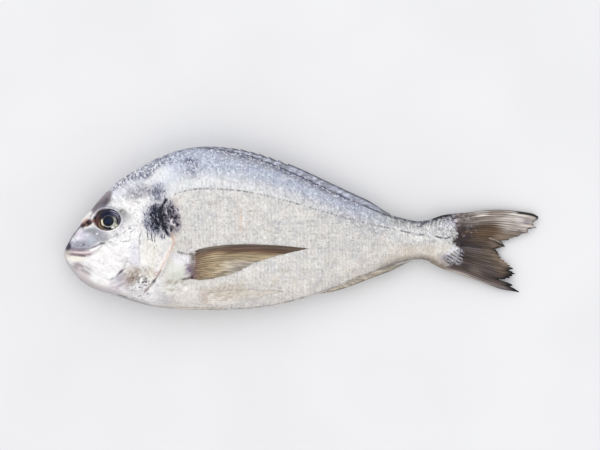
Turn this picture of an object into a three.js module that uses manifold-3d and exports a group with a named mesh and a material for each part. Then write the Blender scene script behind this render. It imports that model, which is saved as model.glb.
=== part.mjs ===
// A whole raw gilt-head bream, lying on its right side: one solid of flesh, skin and fins, with its
// two eyeballs seated in their sockets.
//
// Millimetres, +Z up. While the fish is built, x is the distance back from the snout, y is the height
// above the level of the snout, towards the back, and z is the height above the table. The finished
// group is then moved so that its origin lies on the table, under the middle of the fish.

import * as THREE from "three";
import { mergeVertices } from "three/addons/utils/BufferGeometryUtils.js";
import Module from "manifold-3d";

const wasm = await Module();
wasm.setup();

// ---- Driving dimensions ----

// The trunk, station by station from the snout to the root of the tail: the distance from the snout,
// the height of the back, the depth of the belly, half the thickness, and the height of the fish's
// middle plane above the table, which sinks towards both ends because the fish is limp.
const STATIONS = [
  { x: -0.8, back: -1.0, belly: -3.8, half: 0.4, middle: 14.4 },
  { x: 0.2, back: 1.6, belly: -7.2, half: 3.0, middle: 14.5 },
  { x: 2, back: 4.9, belly: -10.6, half: 4.9, middle: 14.6 },
  { x: 5, back: 10.0, belly: -14.6, half: 6.7, middle: 14.9 },
  { x: 10, back: 18.6, belly: -20.2, half: 8.9, middle: 15.4 },
  { x: 17, back: 27.0, belly: -25.0, half: 11.2, middle: 16.1 },
  { x: 24, back: 35.0, belly: -27.9, half: 13.2, middle: 16.8 },
  { x: 32, back: 43.2, belly: -30.1, half: 15.0, middle: 17.5 },
  { x: 44, back: 51.5, belly: -34.2, half: 17.3, middle: 18.4 },
  { x: 56, back: 58.4, belly: -37.4, half: 19.2, middle: 19.0 },
  { x: 68, back: 64.0, belly: -39.2, half: 20.7, middle: 19.4 },
  { x: 80, back: 67.6, belly: -40.0, half: 21.5, middle: 19.6 },
  { x: 92, back: 68.6, belly: -40.3, half: 21.7, middle: 19.6 },
  { x: 106, back: 67.0, belly: -40.2, half: 21.2, middle: 19.3 },
  { x: 122, back: 63.6, belly: -39.5, half: 20.1, middle: 18.6 },
  { x: 140, back: 57.2, belly: -37.2, half: 18.2, middle: 17.3 },
  { x: 160, back: 48.6, belly: -32.3, half: 15.6, middle: 15.7 },
  { x: 180, back: 39.2, belly: -25.4, half: 12.8, middle: 14.0 },
  { x: 200, back: 30.0, belly: -17.2, half: 10.2, middle: 12.4 },
  { x: 218, back: 23.2, belly: -10.6, half: 8.2, middle: 11.0 },
  { x: 230, back: 20.2, belly: -7.2, half: 7.0, middle: 10.1 },
  { x: 238, back: 19.2, belly: -6.2, half: 6.3, middle: 9.6 },
  { x: 246, back: 20.8, belly: -8.4, half: 5.3, middle: 9.1 },
  { x: 254, back: 22.6, belly: -11.6, half: 3.5, middle: 8.6 },
  { x: 260, back: 20.8, belly: -10.6, half: 2.0, middle: 8.2 },
  { x: 265, back: 12.0, belly: -2.5, half: 1.0, middle: 8.0 },
];
const BACK_KEEL = 0.35; // how much sharper the back is than an ellipse
const BELLY_KEEL = 0.12;
const TABLE_BLEND = 0.6; // how softly the lower flank turns onto its flat resting patch

// Shares are heights as a share of the half height: 1 at the back, 0 in the middle, -1 at the belly.
// The gill cover's rear edge lies furthest back at its level, and is swept forward below and above.
const GILL = { x: 71.8, level: -0.15, lowerSweep: 22, upperSweep: 10.7, reach: 30, top: 0.49 };
const GILL_COVER = { from: 54, rise: 1.4 };
const GILL_OPENING = { depth: 1.7, width: 1.8 };
const CHEEK_PLATE = { x: 53, groove: 0.9, width: 2.2, lowest: -0.78, highest: 0.2 };
const LATERAL_LINE = { share: 0.47, groove: 0.5, width: 0.05, from: 80, to: 232 };

const EYE = { x: 28.7, y: 20.7, radius: 8.7, depth: 4.8, proud: 2.4 };
const EYE_PUPIL = { radius: 4.0, ring: 0.5 };
const EYE_CLEARANCE = 0.35;
const EYE_RIM = { radius: 9.3, thickness: 1.2, proud: 0.2 };
const NOSTRILS = [
  { x: 16.2, y: 18.6, long: 2.1, wide: 0.9, turn: 35 },
  { x: 11.6, y: 15.2, long: 0.9, wide: 0.7, turn: 0 },
];
const NOSTRIL_DEPTH = 1.6;
const MOUTH = {
  lips: [[-3, -1.6], [6, -2.9], [13.5, -3.9], [19.5, -2.2], [25.4, 4.0]],
  gape: 0.9,
  through: 60, // the slot runs right through the snout
};

// Fins. A fin's lines run from its root to its tips; the tail's are given as seen from the side.
const TAIL = {
  topRoot: [246, 18.2], topBend: [279, 27.6], topTip: [317.2, 22.4],
  lowRoot: [244, -5.6], lowBend: [272, -19.2], lowTip: [304.4, -28.2],
  fork: [287.5, -0.4],
  forkAt: 0.53, // the share of the rays that belong to the upper lobe
  rays: 17, halfRoot: 1.6, halfTip: 0.35, ridge: 0.22,
  tipMiddle: 3.4, // height of the tips above the table
  wave: 0.7, // how far the fin ripples out of its plane
  notch: 2, uneven: 1.5, // the tips between the rays, and their raggedness
  tear: 0.93, tearDepth: 8, // a split near the lower edge
};
const PECTORAL = {
  topRoot: [84.5, -1.6], topBend: [104, 7.6], tip: [163, 1],
  lowRoot: [81.5, -20.2], lowBend: [118, -17.5],
  rays: 9, rows: 8, half: 0.75, sunk: 0.3, ridge: 0.16,
};
const PELVIC = {
  topRoot: [92, -30], topBend: [113, -22], tip: [146, -27.5],
  lowRoot: [93, -36.5], lowBend: [117, -38.5],
  rays: 5, rows: 7, half: 0.7, sunk: 0.25, ridge: 0.16,
};
const DORSAL = { from: 76, to: 212, tip: 221, height: 4.6, half: 1.0, spines: 11, spineShare: 0.52 };
const ANAL = { from: 163, to: 206, tip: 227, height: 3.6, half: 0.9, spines: 3, spineShare: 0.2 };
const FOLDED = { sunk: 2.2, lean: 3.5, columns: 34, notch: 0.28 }; // how both of these lie
const UNDER_PECTORAL = { x: 121, y: -6, long: 48, wide: 17, lift: 0.5 }; // the flank gives way to it

// How finely the surfaces are cut.
const AROUND = 40;
const SNOUT_STEPS = [-0.8, 0.2, 1.4, 2.8, 4.6, 6.6, 8.8];
const HEAD_STEP = 2.75;
const TRUNK_STEP = 6;
const TAIL_ROOT_STEPS = [249, 253, 257, 260, 262.5, 265];
const TAIL_ROWS = 9;

const COLOURS = { skin: 0xc3c4c6, eye: 0x3b3328 };

// ---- Small tools ----

const { sin, cos, abs, sign, min, max, pow, hypot } = Math;
const radians = THREE.MathUtils.degToRad;
const mix = THREE.MathUtils.lerp;
const smooth = THREE.MathUtils.smoothstep;

// A fixed draw between 0 and 1 for a whole number.
const draw = (n) => {
  const long = sin(n * 12.9898 + 4.1) * 43758.5453;
  return long - Math.floor(long);
};

// A bell of height 1 around middle.
const bell = (value, middle, width) => Math.exp(-(((value - middle) / width) ** 2));

// 1 between start and end, falling to 0 over a soft stretch round each.
function span(value, start, end, soft) {
  return smooth(value, start - soft, start + soft) * (1 - smooth(value, end - soft, end + soft));
}

// The value of one of the stations' columns at x, on a smooth curve through the stations.
function at(column, x) {
  const last = STATIONS.length - 1;
  const i = min(max(STATIONS.findIndex((s) => s.x > x), 1), last);
  const k = x >= STATIONS[last].x ? last : i;
  const slope = (n) => {
    const a = STATIONS[max(n - 1, 0)];
    const b = STATIONS[min(n + 1, last)];
    return (b[column] - a[column]) / (b.x - a.x);
  };
  const a = STATIONS[k - 1];
  const b = STATIONS[k];
  const span = b.x - a.x;
  const t = min(max((x - a.x) / span, 0), 1);
  return (
    (2 * t ** 3 - 3 * t ** 2 + 1) * a[column] +
    (t ** 3 - 2 * t ** 2 + t) * span * slope(k - 1) +
    (3 * t ** 2 - 2 * t ** 3) * b[column] +
    (t ** 3 - t ** 2) * span * slope(k)
  );
}

// A point on the bent line from start over bend to end, at share t.
function bentLine(start, bend, end, t) {
  return [0, 1].map((i) => (1 - t) ** 2 * start[i] + 2 * t * (1 - t) * bend[i] + t ** 2 * end[i]);
}

// Heights near the table are turned onto it, so that nothing passes below the floor given.
function onTable(z, floor = 0) {
  const above = z - floor;
  if (above >= TABLE_BLEND) return z;
  return above <= -TABLE_BLEND ? floor : floor + (above + TABLE_BLEND) ** 2 / (4 * TABLE_BLEND);
}

// ---- The skin, as a function ----

// How far the section that starts at x is swept forward at a share of the half height, so that the
// sections near the gill cover follow its rounded rear edge.
function sweep(x, share) {
  const below = max(GILL.level - share, 0) / (1 + GILL.level);
  const above = max(share - GILL.level, 0);
  return -bell(x, GILL.x, GILL.reach) * (GILL.lowerSweep * below ** 1.5 + GILL.upperSweep * above ** 2);
}

// The relief of the gill cover, the cheek plate and the lateral line, outwards from the flank.
function relief(x, share) {
  const onCover = x <= GILL.x;
  const cover = onCover ? smooth(x, GILL_COVER.from, GILL.x) * GILL_COVER.rise : 0;
  const opening = onCover ? 0 : bell(x, GILL.x + 1, GILL_OPENING.width) * GILL_OPENING.depth;
  const gill = (cover - opening) * span(share, -2, GILL.top, 0.09);
  const cheek = bell(x, CHEEK_PLATE.x, CHEEK_PLATE.width) * CHEEK_PLATE.groove;
  const onCheek = span(share, CHEEK_PLATE.lowest, CHEEK_PLATE.highest, 0.09);
  const line = bell(share, LATERAL_LINE.share, LATERAL_LINE.width) * LATERAL_LINE.groove;
  return gill - cheek * onCheek - line * span(x, LATERAL_LINE.from, LATERAL_LINE.to, 6);
}

// A point on the skin of the section that starts at x, at an angle that runs from the upper flank (0)
// over the back (90), the lower flank (180) and the belly (270).
function skinPoint(start, degrees) {
  const share = sin(radians(degrees));
  const side = cos(radians(degrees));
  const x = start + sweep(start, share);
  const [back, belly] = [at("back", x), at("belly", x)];
  const y = (back + belly) / 2 + (share * (back - belly)) / 2;
  const keel = 1 + BACK_KEEL * max(share, 0) + BELLY_KEEL * max(-share, 0);
  const out = at("half", x) * pow(abs(side), keel);
  const raised = out + relief(start, share) * smooth(abs(side), 0.1, 0.5);
  const give = UNDER_PECTORAL;
  const under = 1 - smooth(hypot((x - give.x) / give.long, (y - give.y) / give.wide), 0.8, 1.05);
  const z = at("middle", x) + sign(side) * raised;
  return new THREE.Vector3(x, y, onTable(z, side < 0 ? give.lift * under : 0));
}

// The height of one flank at a place seen from the side: flank is 1 for the upper, -1 for the lower.
function flankHeight(x, y, flank) {
  const [back, belly] = [at("back", x), at("belly", x)];
  const share = min(max((2 * y - back - belly) / (back - belly), -0.999), 0.999);
  const keel = 1 + BACK_KEEL * max(share, 0) + BELLY_KEEL * max(-share, 0);
  return at("middle", x) + flank * at("half", x) * pow(1 - share ** 2, keel / 2);
}

// ---- From points to solids ----

function solidFrom(geometry) {
  const bare = geometry.index ? geometry : geometry.clone();
  for (const name of ["normal", "uv"]) bare.deleteAttribute(name);
  const merged = mergeVertices(bare, 1e-4);
  const corners = [];
  for (let i = 0; i < merged.index.count; i += 3) {
    const [a, b, c] = [0, 1, 2].map((n) => merged.index.getX(i + n));
    if (a !== b && b !== c && c !== a) corners.push(a, b, c);
  }
  return new wasm.Manifold(
    new wasm.Mesh({
      numProp: 3,
      vertProperties: new Float32Array(merged.attributes.position.array),
      triVerts: new Uint32Array(corners),
    }),
  );
}

function geometryFrom(solid) {
  const mesh = solid.getMesh();
  const geometry = new THREE.BufferGeometry();
  geometry.setAttribute("position", new THREE.BufferAttribute(mesh.vertProperties, 3));
  geometry.setIndex(new THREE.BufferAttribute(mesh.triVerts, 1));
  geometry.computeVertexNormals();
  return geometry;
}

// The largest body of a solid, without the hollows that joining seals and without loose scraps.
const outerBody = (solid) => solid.decompose().reduce((a, b) => (b.volume() > a.volume() ? b : a));

// A closed solid from rings of points that all run the same way round, with a point closing each end.
function loft(rings) {
  const count = rings[0].length;
  const points = rings.flat();
  const faces = [];
  const middleOf = (ring) => ring.reduce((sum, p) => sum.add(p), new THREE.Vector3()).divideScalar(count);
  const first = points.push(middleOf(rings[0])) - 1;
  const last = points.push(middleOf(rings.at(-1))) - 1;
  for (let i = 0; i < count; i++) {
    const next = (i + 1) % count;
    const end = (rings.length - 1) * count;
    faces.push(first, i, next, last, end + next, end + i);
    for (let row = 0; row < rings.length - 1; row++) {
      const [a, b] = [row * count + i, row * count + next];
      faces.push(a, a + count, b, b, a + count, b + count);
    }
  }
  const geometry = new THREE.BufferGeometry().setFromPoints(points);
  geometry.setIndex(faces);
  return geometry;
}

// A fin: pointAt(u, v) gives the middle of the fin, with u across the rays and v along them, and
// halfAt(u, v) half its thickness there, straight up and down.
function finSolid(columns, rows, pointAt, halfAt) {
  const layer = (face) =>
    Array.from({ length: (columns + 1) * (rows + 1) }, (_, n) => {
      const [u, v] = [(n % (columns + 1)) / columns, Math.floor(n / (columns + 1)) / rows];
      return pointAt(u, v).add(new THREE.Vector3(0, 0, face * halfAt(u, v)));
    });
  const points = [...layer(1), ...layer(-1)];
  const lower = points.length / 2;
  const spot = (c, r) => r * (columns + 1) + c;
  const faces = [];
  const quad = (a, b, c, d) => faces.push(a, b, c, a, c, d);
  for (let r = 0; r < rows; r++)
    for (let c = 0; c < columns; c++) {
      const [a, b, d, e] = [spot(c, r), spot(c + 1, r), spot(c + 1, r + 1), spot(c, r + 1)];
      quad(a, b, d, e);
      quad(lower + a, lower + e, lower + d, lower + b);
    }
  const rim = [
    ...Array.from({ length: columns }, (_, c) => [spot(c, 0), spot(c + 1, 0)]),
    ...Array.from({ length: rows }, (_, r) => [spot(columns, r), spot(columns, r + 1)]),
    ...Array.from({ length: columns }, (_, c) => [spot(columns - c, rows), spot(columns - c - 1, rows)]),
    ...Array.from({ length: rows }, (_, r) => [spot(0, rows - r), spot(0, rows - r - 1)]),
  ];
  for (const [a, b] of rim) quad(b, a, lower + a, lower + b);
  const geometry = new THREE.BufferGeometry().setFromPoints(points);
  geometry.setIndex(faces);
  const solid = solidFrom(geometry);
  if (solid.volume() >= 0) return solid;
  for (let i = 0; i < faces.length; i += 3) [faces[i + 1], faces[i + 2]] = [faces[i + 2], faces[i + 1]];
  geometry.setIndex(faces);
  return solidFrom(geometry);
}

// ---- The trunk and head ----

function trunk() {
  const starts = [...SNOUT_STEPS];
  for (let x = SNOUT_STEPS.at(-1) + HEAD_STEP; x < GILL.x - 1; x += HEAD_STEP) starts.push(x);
  starts.push(GILL.x, GILL.x + 0.9, GILL.x + 2.4, GILL.x + 4.6);
  for (let x = GILL.x + 9; x < TAIL_ROOT_STEPS[0] - TRUNK_STEP / 2; x += TRUNK_STEP) starts.push(x);
  starts.push(...TAIL_ROOT_STEPS);
  const rings = starts.map((x) =>
    Array.from({ length: AROUND }, (_, i) => skinPoint(x, (i * 360) / AROUND)),
  );
  return solidFrom(loft(rings));
}

// The mouth is a narrow slot between the lips, cut through the snout from side to side.
function mouthSlot() {
  const lips = new THREE.SplineCurve(MOUTH.lips.map(([x, y]) => new THREE.Vector2(x, y)));
  const line = lips.getPoints(12);
  const gapeAt = (i) => MOUTH.gape * (1 - 0.6 * (i / (line.length - 1)));
  const upper = line.map((p, i) => new THREE.Vector2(p.x, p.y + gapeAt(i) / 2));
  const lower = line.map((p, i) => new THREE.Vector2(p.x, p.y - gapeAt(i) / 2));
  const outline = new THREE.Shape([...upper, ...lower.reverse()]);
  return new THREE.ExtrudeGeometry(outline, { depth: MOUTH.through, bevelEnabled: false });
}

function nostril({ x, y, long, wide, turn }, flank) {
  const pit = new THREE.SphereGeometry(1, 10, 6);
  pit.scale(long, wide, NOSTRIL_DEPTH);
  pit.rotateZ(radians(turn));
  pit.translate(x, y, flankHeight(x, y, flank));
  return pit;
}

// ---- The eyes ----

// Seats a piece that looks along the line of sight: it faces the way the flank does at the eye, and
// stands proud of the flank by the distance given.
function seatAtEye(geometry, flank, proud) {
  const step = 5;
  const height = (dx, dy) => flankHeight(EYE.x + dx, EYE.y + dy, flank);
  const slopes = [height(-step, 0) - height(step, 0), height(0, -step) - height(0, step)];
  const facing = new THREE.Vector3(...slopes, 2 * step).normalize().multiplyScalar(flank);
  const straight = new THREE.Vector3(0, 0, flank);
  geometry.applyQuaternion(new THREE.Quaternion().setFromUnitVectors(straight, facing));
  const place = new THREE.Vector3(EYE.x, EYE.y, height(0, 0)).addScaledVector(facing, proud);
  geometry.translate(...place.toArray());
  return geometry;
}

// An eyeball is turned about its line of sight: a domed cornea with a shallow ring round the pupil,
// and a rounder back. grown makes it larger all round, for the socket that it sits in.
function eyeball(flank, grown = 0) {
  const radius = EYE.radius + grown;
  const depth = EYE.depth + grown;
  const profile = [new THREE.Vector2(0, -depth)];
  for (const degrees of [-70, -50, -30, -12, 8, 28]) {
    profile.push(new THREE.Vector2(radius * cos(radians(degrees)), depth * sin(radians(degrees))));
  }
  const dome = (r) => depth * Math.sqrt(1 - (r / radius) ** 2);
  const ring = grown ? 0 : EYE_PUPIL.ring;
  profile.push(new THREE.Vector2(EYE_PUPIL.radius + 0.6, dome(EYE_PUPIL.radius + 0.6)));
  profile.push(new THREE.Vector2(EYE_PUPIL.radius, dome(EYE_PUPIL.radius) - ring));
  profile.push(new THREE.Vector2(EYE_PUPIL.radius - 0.7, dome(EYE_PUPIL.radius - 0.7)));
  profile.push(new THREE.Vector2(0, depth));
  const ball = new THREE.LatheGeometry(profile, 24);
  ball.rotateX(flank * radians(90));
  return seatAtEye(ball, flank, EYE.proud - EYE.depth);
}

// The ring of skin round an eye.
function eyeRim(flank) {
  const rim = new THREE.TorusGeometry(EYE_RIM.radius, EYE_RIM.thickness, 8, 24);
  return seatAtEye(rim, flank, EYE_RIM.proud - EYE_RIM.thickness);
}

// ---- The fins ----

// The tail is a fan of rays between its two edges, cut back to the fork, with ragged tips.
function tailFin() {
  const columns = TAIL.rays * 2;
  const length = (u) => {
    const upper = u < TAIL.forkAt;
    const inLobe = upper ? u / TAIL.forkAt : (1 - u) / (1 - TAIL.forkAt);
    const tip = upper ? TAIL.topTip : TAIL.lowTip;
    const reach = mix(tip[0], TAIL.fork[0], inLobe ** 0.85);
    const column = Math.round(u * columns);
    const ragged = TAIL.uneven * draw(column) - (column % 2 ? TAIL.notch : 0);
    const torn = bell(u, TAIL.tear, 0.02) * TAIL.tearDepth;
    return reach + (u > 0 && u < 1 ? ragged : 0) - torn;
  };
  const pointAt = (u, v) => {
    const top = bentLine(TAIL.topRoot, TAIL.topBend, TAIL.topTip, v);
    const low = bentLine(TAIL.lowRoot, TAIL.lowBend, TAIL.lowTip, v);
    const root = mix(TAIL.topRoot[0], TAIL.lowRoot[0], u);
    const x = mix(root, length(u), v);
    const y = mix(top[1], low[1], u);
    const middle = mix(at("middle", root), TAIL.tipMiddle, smooth(v, 0, 1));
    return new THREE.Vector3(x, y, middle + TAIL.wave * v * sin(9 * u));
  };
  const halfAt = (u, v) => {
    const ridge = Math.round(u * columns) % 2 ? -TAIL.ridge : TAIL.ridge;
    return mix(TAIL.halfRoot, TAIL.halfTip, pow(v, 0.6)) + ridge * v * (1 - v) * 2;
  };
  return finSolid(columns, TAIL_ROWS, pointAt, halfAt);
}

// A pectoral or pelvic fin lies folded back against its flank, and the lower ones on the table.
function pairedFin(fin, flank) {
  const columns = fin.rays * 2;
  const pointAt = (u, v) => {
    const top = bentLine(fin.topRoot, fin.topBend, fin.tip, v);
    const low = bentLine(fin.lowRoot, fin.lowBend, fin.tip, v);
    const [x, y] = [mix(top[0], low[0], u), mix(top[1], low[1], u)];
    const z = flankHeight(x, y, flank) + flank * fin.sunk;
    return new THREE.Vector3(x, y, onTable(z, flank < 0 ? fin.half + fin.ridge : 0));
  };
  const halfAt = (u, v) => {
    const ridge = Math.round(u * columns) % 2 ? -fin.ridge : fin.ridge;
    return mix(fin.half, fin.half * 0.8, v) + ridge * (1 - v);
  };
  return finSolid(columns, fin.rows, pointAt, halfAt);
}

// A fin that stands in the middle plane, folded down along the back or the belly. edge is "back" or
// "belly". Its spines come first and leave a notched edge, and its soft rays end in a free tip.
function foldedFin({ from, to, tip, height, half, spines, spineShare }, edge) {
  const away = edge === "back" ? 1 : -1;
  const pointAt = (u, v) => {
    const x = mix(from, to, u);
    const notch = u < spineShare ? ((u / spineShare) * spines) % 1 : 0;
    const grow = smooth(u, 0, 0.3) * mix(0.55, 1, smooth(u, 0.2, 0.6));
    const tall = height * grow * (1 - FOLDED.notch * notch) * (1 - 0.35 * smooth(u, 0.85, 1));
    const rootY = at(edge, x) - away * FOLDED.sunk;
    const laidX = x + mix(FOLDED.lean, tip - to, smooth(u, 0.4, 1)) * v;
    const out = rootY + away * (tall + FOLDED.sunk) * v;
    const y = out + (at(edge, laidX) - at(edge, x)) * v;
    return new THREE.Vector3(laidX, y, at("middle", laidX));
  };
  const halfAt = (u, v) => half * mix(1, 0.5, v) * (1 - 0.3 * smooth(u, 0.8, 1));
  return finSolid(FOLDED.columns, 2, pointAt, halfAt);
}

// ---- The whole fish ----

const FLANKS = { left: 1, right: -1 }; // the left flank is up

let flesh = trunk();
const grown = [
  tailFin(),
  foldedFin(DORSAL, "back"),
  foldedFin(ANAL, "belly"),
  ...Object.values(FLANKS).flatMap((flank) => [
    pairedFin(PECTORAL, flank),
    pairedFin(PELVIC, flank),
    solidFrom(eyeRim(flank)),
  ]),
];
for (const piece of grown) flesh = flesh.add(piece);
const cuts = [
  solidFrom(mouthSlot()),
  ...Object.values(FLANKS).flatMap((flank) => [
    solidFrom(eyeball(flank, EYE_CLEARANCE)),
    ...NOSTRILS.map((place) => solidFrom(nostril(place, flank))),
  ]),
];
for (const piece of cuts) flesh = flesh.subtract(piece);
flesh = outerBody(flesh.simplify(0.01));

function named(name, geometry, colour, roughness) {
  const material = new THREE.MeshStandardMaterial({ color: colour, roughness, metalness: 0.1 });
  const mesh = new THREE.Mesh(geometry, material);
  mesh.name = name;
  return mesh;
}

const fish = new THREE.Group();
fish.add(named("fish", geometryFrom(flesh), COLOURS.skin, 0.35));
for (const [side, flank] of Object.entries(FLANKS)) {
  fish.add(named(`eye_${side}`, geometryFrom(solidFrom(eyeball(flank))), COLOURS.eye, 0.08));
}
const footprint = new THREE.Box3().setFromObject(fish);
const centre = footprint.getCenter(new THREE.Vector3());
fish.position.set(-centre.x, -centre.y, -footprint.min.z);

export default fish;
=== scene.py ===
import math

import bpy
import numpy as np
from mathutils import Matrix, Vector


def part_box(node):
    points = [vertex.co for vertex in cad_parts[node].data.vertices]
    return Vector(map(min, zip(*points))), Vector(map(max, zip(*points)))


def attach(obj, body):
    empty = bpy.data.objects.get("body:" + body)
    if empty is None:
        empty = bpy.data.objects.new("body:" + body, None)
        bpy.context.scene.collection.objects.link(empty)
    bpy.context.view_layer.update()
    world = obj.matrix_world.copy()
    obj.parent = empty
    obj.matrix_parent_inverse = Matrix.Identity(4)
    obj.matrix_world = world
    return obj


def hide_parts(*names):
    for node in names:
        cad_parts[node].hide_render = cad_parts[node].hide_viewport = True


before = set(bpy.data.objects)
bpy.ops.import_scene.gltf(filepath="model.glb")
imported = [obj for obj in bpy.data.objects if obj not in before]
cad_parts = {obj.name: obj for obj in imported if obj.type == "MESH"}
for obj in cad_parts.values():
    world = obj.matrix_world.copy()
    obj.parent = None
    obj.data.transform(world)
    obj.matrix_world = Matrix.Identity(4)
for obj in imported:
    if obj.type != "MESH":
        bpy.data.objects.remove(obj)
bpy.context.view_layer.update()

# ---- Flesh and skin ----
# The body of the sea bream is one piece of flesh in a wet skin, from the lips to the scaly root of
# the tail. The gill cover is a thin bony flap that lies over the shoulder, and the mouth is shut.

# Lengths are in millimetres from the snout: x runs back along the fish, y up to its back, and z up
# from the table that its right flank lies on.
MM = 0.001
TAIL_TIP = 317.2  # how far the tail reaches behind the snout
DEEPEST = 40.32  # how far the belly hangs below the level of the snout
low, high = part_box("fish")
SNOUT = np.array([high.x - TAIL_TIP * MM, low.y + DEEPEST * MM, 0.0])

# Each row: distance from the snout, height of the back, of the belly, half the thickness, and the
# height of the middle plane above the table.
BACK, BELLY, HALF, MIDDLE = 1, 2, 3, 4
STATIONS = [
    (-0.8, -1, -3.8, 0.4, 14.4),
    (0.2, 1.6, -7.2, 3, 14.5),
    (2, 4.9, -10.6, 4.9, 14.6),
    (5, 10, -14.6, 6.7, 14.9),
    (10, 18.6, -20.2, 8.9, 15.4),
    (17, 27, -25, 11.2, 16.1),
    (24, 35, -27.9, 13.2, 16.8),
    (32, 43.2, -30.1, 15, 17.5),
    (44, 51.5, -34.2, 17.3, 18.4),
    (56, 58.4, -37.4, 19.2, 19),
    (68, 64, -39.2, 20.7, 19.4),
    (80, 67.6, -40, 21.5, 19.6),
    (92, 68.6, -40.3, 21.7, 19.6),
    (106, 67, -40.2, 21.2, 19.3),
    (122, 63.6, -39.5, 20.1, 18.6),
    (140, 57.2, -37.2, 18.2, 17.3),
    (160, 48.6, -32.3, 15.6, 15.7),
    (180, 39.2, -25.4, 12.8, 14),
    (200, 30, -17.2, 10.2, 12.4),
    (218, 23.2, -10.6, 8.2, 11),
    (230, 20.2, -7.2, 7, 10.1),
    (238, 19.2, -6.2, 6.3, 9.6),
    (246, 20.8, -8.4, 5.3, 9.1),
    (254, 22.6, -11.6, 3.5, 8.6),
    (260, 20.8, -10.6, 2, 8.2),
    (265, 12, -2.5, 1, 8),
]
BACK_KEEL, BELLY_KEEL = 0.35, 0.12
# The gill cover's free rear edge: its hindmost point and its level as a share of the half height,
# the stretch that is swept forward with it, its top corner, and its sweep below and above.
GILL_X, GILL_LEVEL, GILL_REACH, GILL_TOP = 71.8, -0.15, 30, 0.49
GILL_SWEEP_BELOW, GILL_SWEEP_ABOVE = 22, 10.7
GILL_COVER_FROM, GILL_COVER_RISE, GILL_DEPTH = 54, 1.2, 0.8
EYE_X, EYE_Y, EYE_LONG, EYE_HIGH = 28.4, 20.4, 8.9, 7.2
GILL_THROAT = [(64.2, -13.4), (61.2, -18.6), (57.2, -24.0), (53.4, -28.0)]
MOUTH = [(-3, -1.6), (6, -2.9), (13.5, -3.9), (19.5, -2.2), (25.4, 4.0)]
PAD_X, PAD_Y, PAD_LONG, PAD_HIGH = 74.2, -13.8, 6.8, 6.6
SKIN_FLOOR = 0.4  # the skin lies this far off the table, on its scales
SKIN_LOWEST, SCALE_LOWEST, FIN_LOWEST = 0.1, 0.05, 0.08
FIN_BED, FIN_BED_LIFT = [(121, -6), (46, 14)], 0.5  # the lower side fin lifts the skin off the table
TABLE_BLEND = 0.6
AROUND = 300
HEAD_STEP, TRUNK_STEP, TAIL_ROOT_STEP = 0.5, 1.6, 0.8


def smooth(value, start, end):
    """0 up to start, 1 from end, and a smooth rise between."""
    t = np.clip((value - start) / (end - start), 0, 1)
    return t * t * (3 - 2 * t)


def fall(value, start, end):
    """1 up to start and 0 from end."""
    return 1 - smooth(value, start, end)


def bell(value, middle, width):
    return np.exp(-(((value - middle) / width) ** 2))


def span(value, start, end, soft):
    """1 between start and end, falling to 0 over a soft stretch round each."""
    return smooth(value, start - soft, start + soft) * fall(value, end - soft, end + soft)


def mix(a, b, t):
    return a + (b - a) * t


def through(points, x):
    """The value at x of the smooth curve through the points, which are (x, value) pairs."""
    px, pv = np.array(points, float).T
    last = len(px) - 1
    ahead = np.minimum(np.arange(last + 1) + 1, last)
    behind = np.maximum(np.arange(last + 1) - 1, 0)
    slope = (pv[ahead] - pv[behind]) / (px[ahead] - px[behind])
    k = np.clip(np.searchsorted(px, x, side="right"), 1, last)
    width = px[k] - px[k - 1]
    t = np.clip((x - px[k - 1]) / width, 0, 1)
    start = (2 * t**3 - 3 * t**2 + 1) * pv[k - 1] + (t**3 - 2 * t**2 + t) * width * slope[k - 1]
    return start + (3 * t**2 - 2 * t**3) * pv[k] + (t**3 - t**2) * width * slope[k]


def station(column, x):
    return through([(row[0], row[column]) for row in STATIONS], x)


def on_table(z, floor):
    """Heights near the table are turned onto it, so that nothing passes below the floor given."""
    above = z - floor
    turned = floor + (np.clip(above, -TABLE_BLEND, None) + TABLE_BLEND) ** 2 / (4 * TABLE_BLEND)
    return np.where(above >= TABLE_BLEND, z, turned)


def share_of(x, y):
    """The height y as a share of the half height at x: 1 at the back, -1 at the belly."""
    back, belly = station(BACK, x), station(BELLY, x)
    return np.clip((2 * y - back - belly) / (back - belly), -1, 1)


def keel(share):
    return 1 + BACK_KEEL * np.maximum(share, 0) + BELLY_KEEL * np.maximum(-share, 0)


def spot(x, y, centre, radii, turn=0, soft=0.6):
    """1 inside an oval patch, falling softly to 0 round its edge."""
    dx, dy = x - centre[0], y - centre[1]
    c, s = math.cos(math.radians(turn)), math.sin(math.radians(turn))
    r = np.hypot((dx * c + dy * s) / radii[0], (dy * c - dx * s) / radii[1])
    return fall(r, 1 - soft, 1 + soft)


def stroke(x, y, line, width):
    """1 on a bent line, falling off to both sides of it."""
    nearest = np.full(np.shape(x), np.inf)
    for (ax, ay), (bx, by) in zip(line, line[1:]):
        t = ((x - ax) * (bx - ax) + (y - ay) * (by - ay)) / ((bx - ax) ** 2 + (by - ay) ** 2)
        t = np.clip(t, 0, 1)
        nearest = np.minimum(nearest, np.hypot(x - ax - t * (bx - ax), y - ay - t * (by - ay)))
    return np.exp(-((nearest / width) ** 2))


def moved(line, along, up):
    return [(x + along, y + up) for x, y in line]


def noise(x, y, size, seed, turn=0, stretch=1):
    """Smooth seeded noise from -1 to 1, with spots of the size given, drawn out along a direction."""
    c, s = math.cos(math.radians(turn)), math.sin(math.radians(turn))
    u, v = (x * c + y * s) / (size * stretch), (y * c - x * s) / size
    table = np.random.default_rng(seed).uniform(-1, 1, (256, 256))
    i, j = np.floor(u).astype(int), np.floor(v).astype(int)
    fu, fv = smooth(u - i, 0, 1), smooth(v - j, 0, 1)
    near = mix(table[i % 256, j % 256], table[(i + 1) % 256, j % 256], fu)
    far = mix(table[i % 256, (j + 1) % 256], table[(i + 1) % 256, (j + 1) % 256], fu)
    return mix(near, far, fv)


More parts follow.
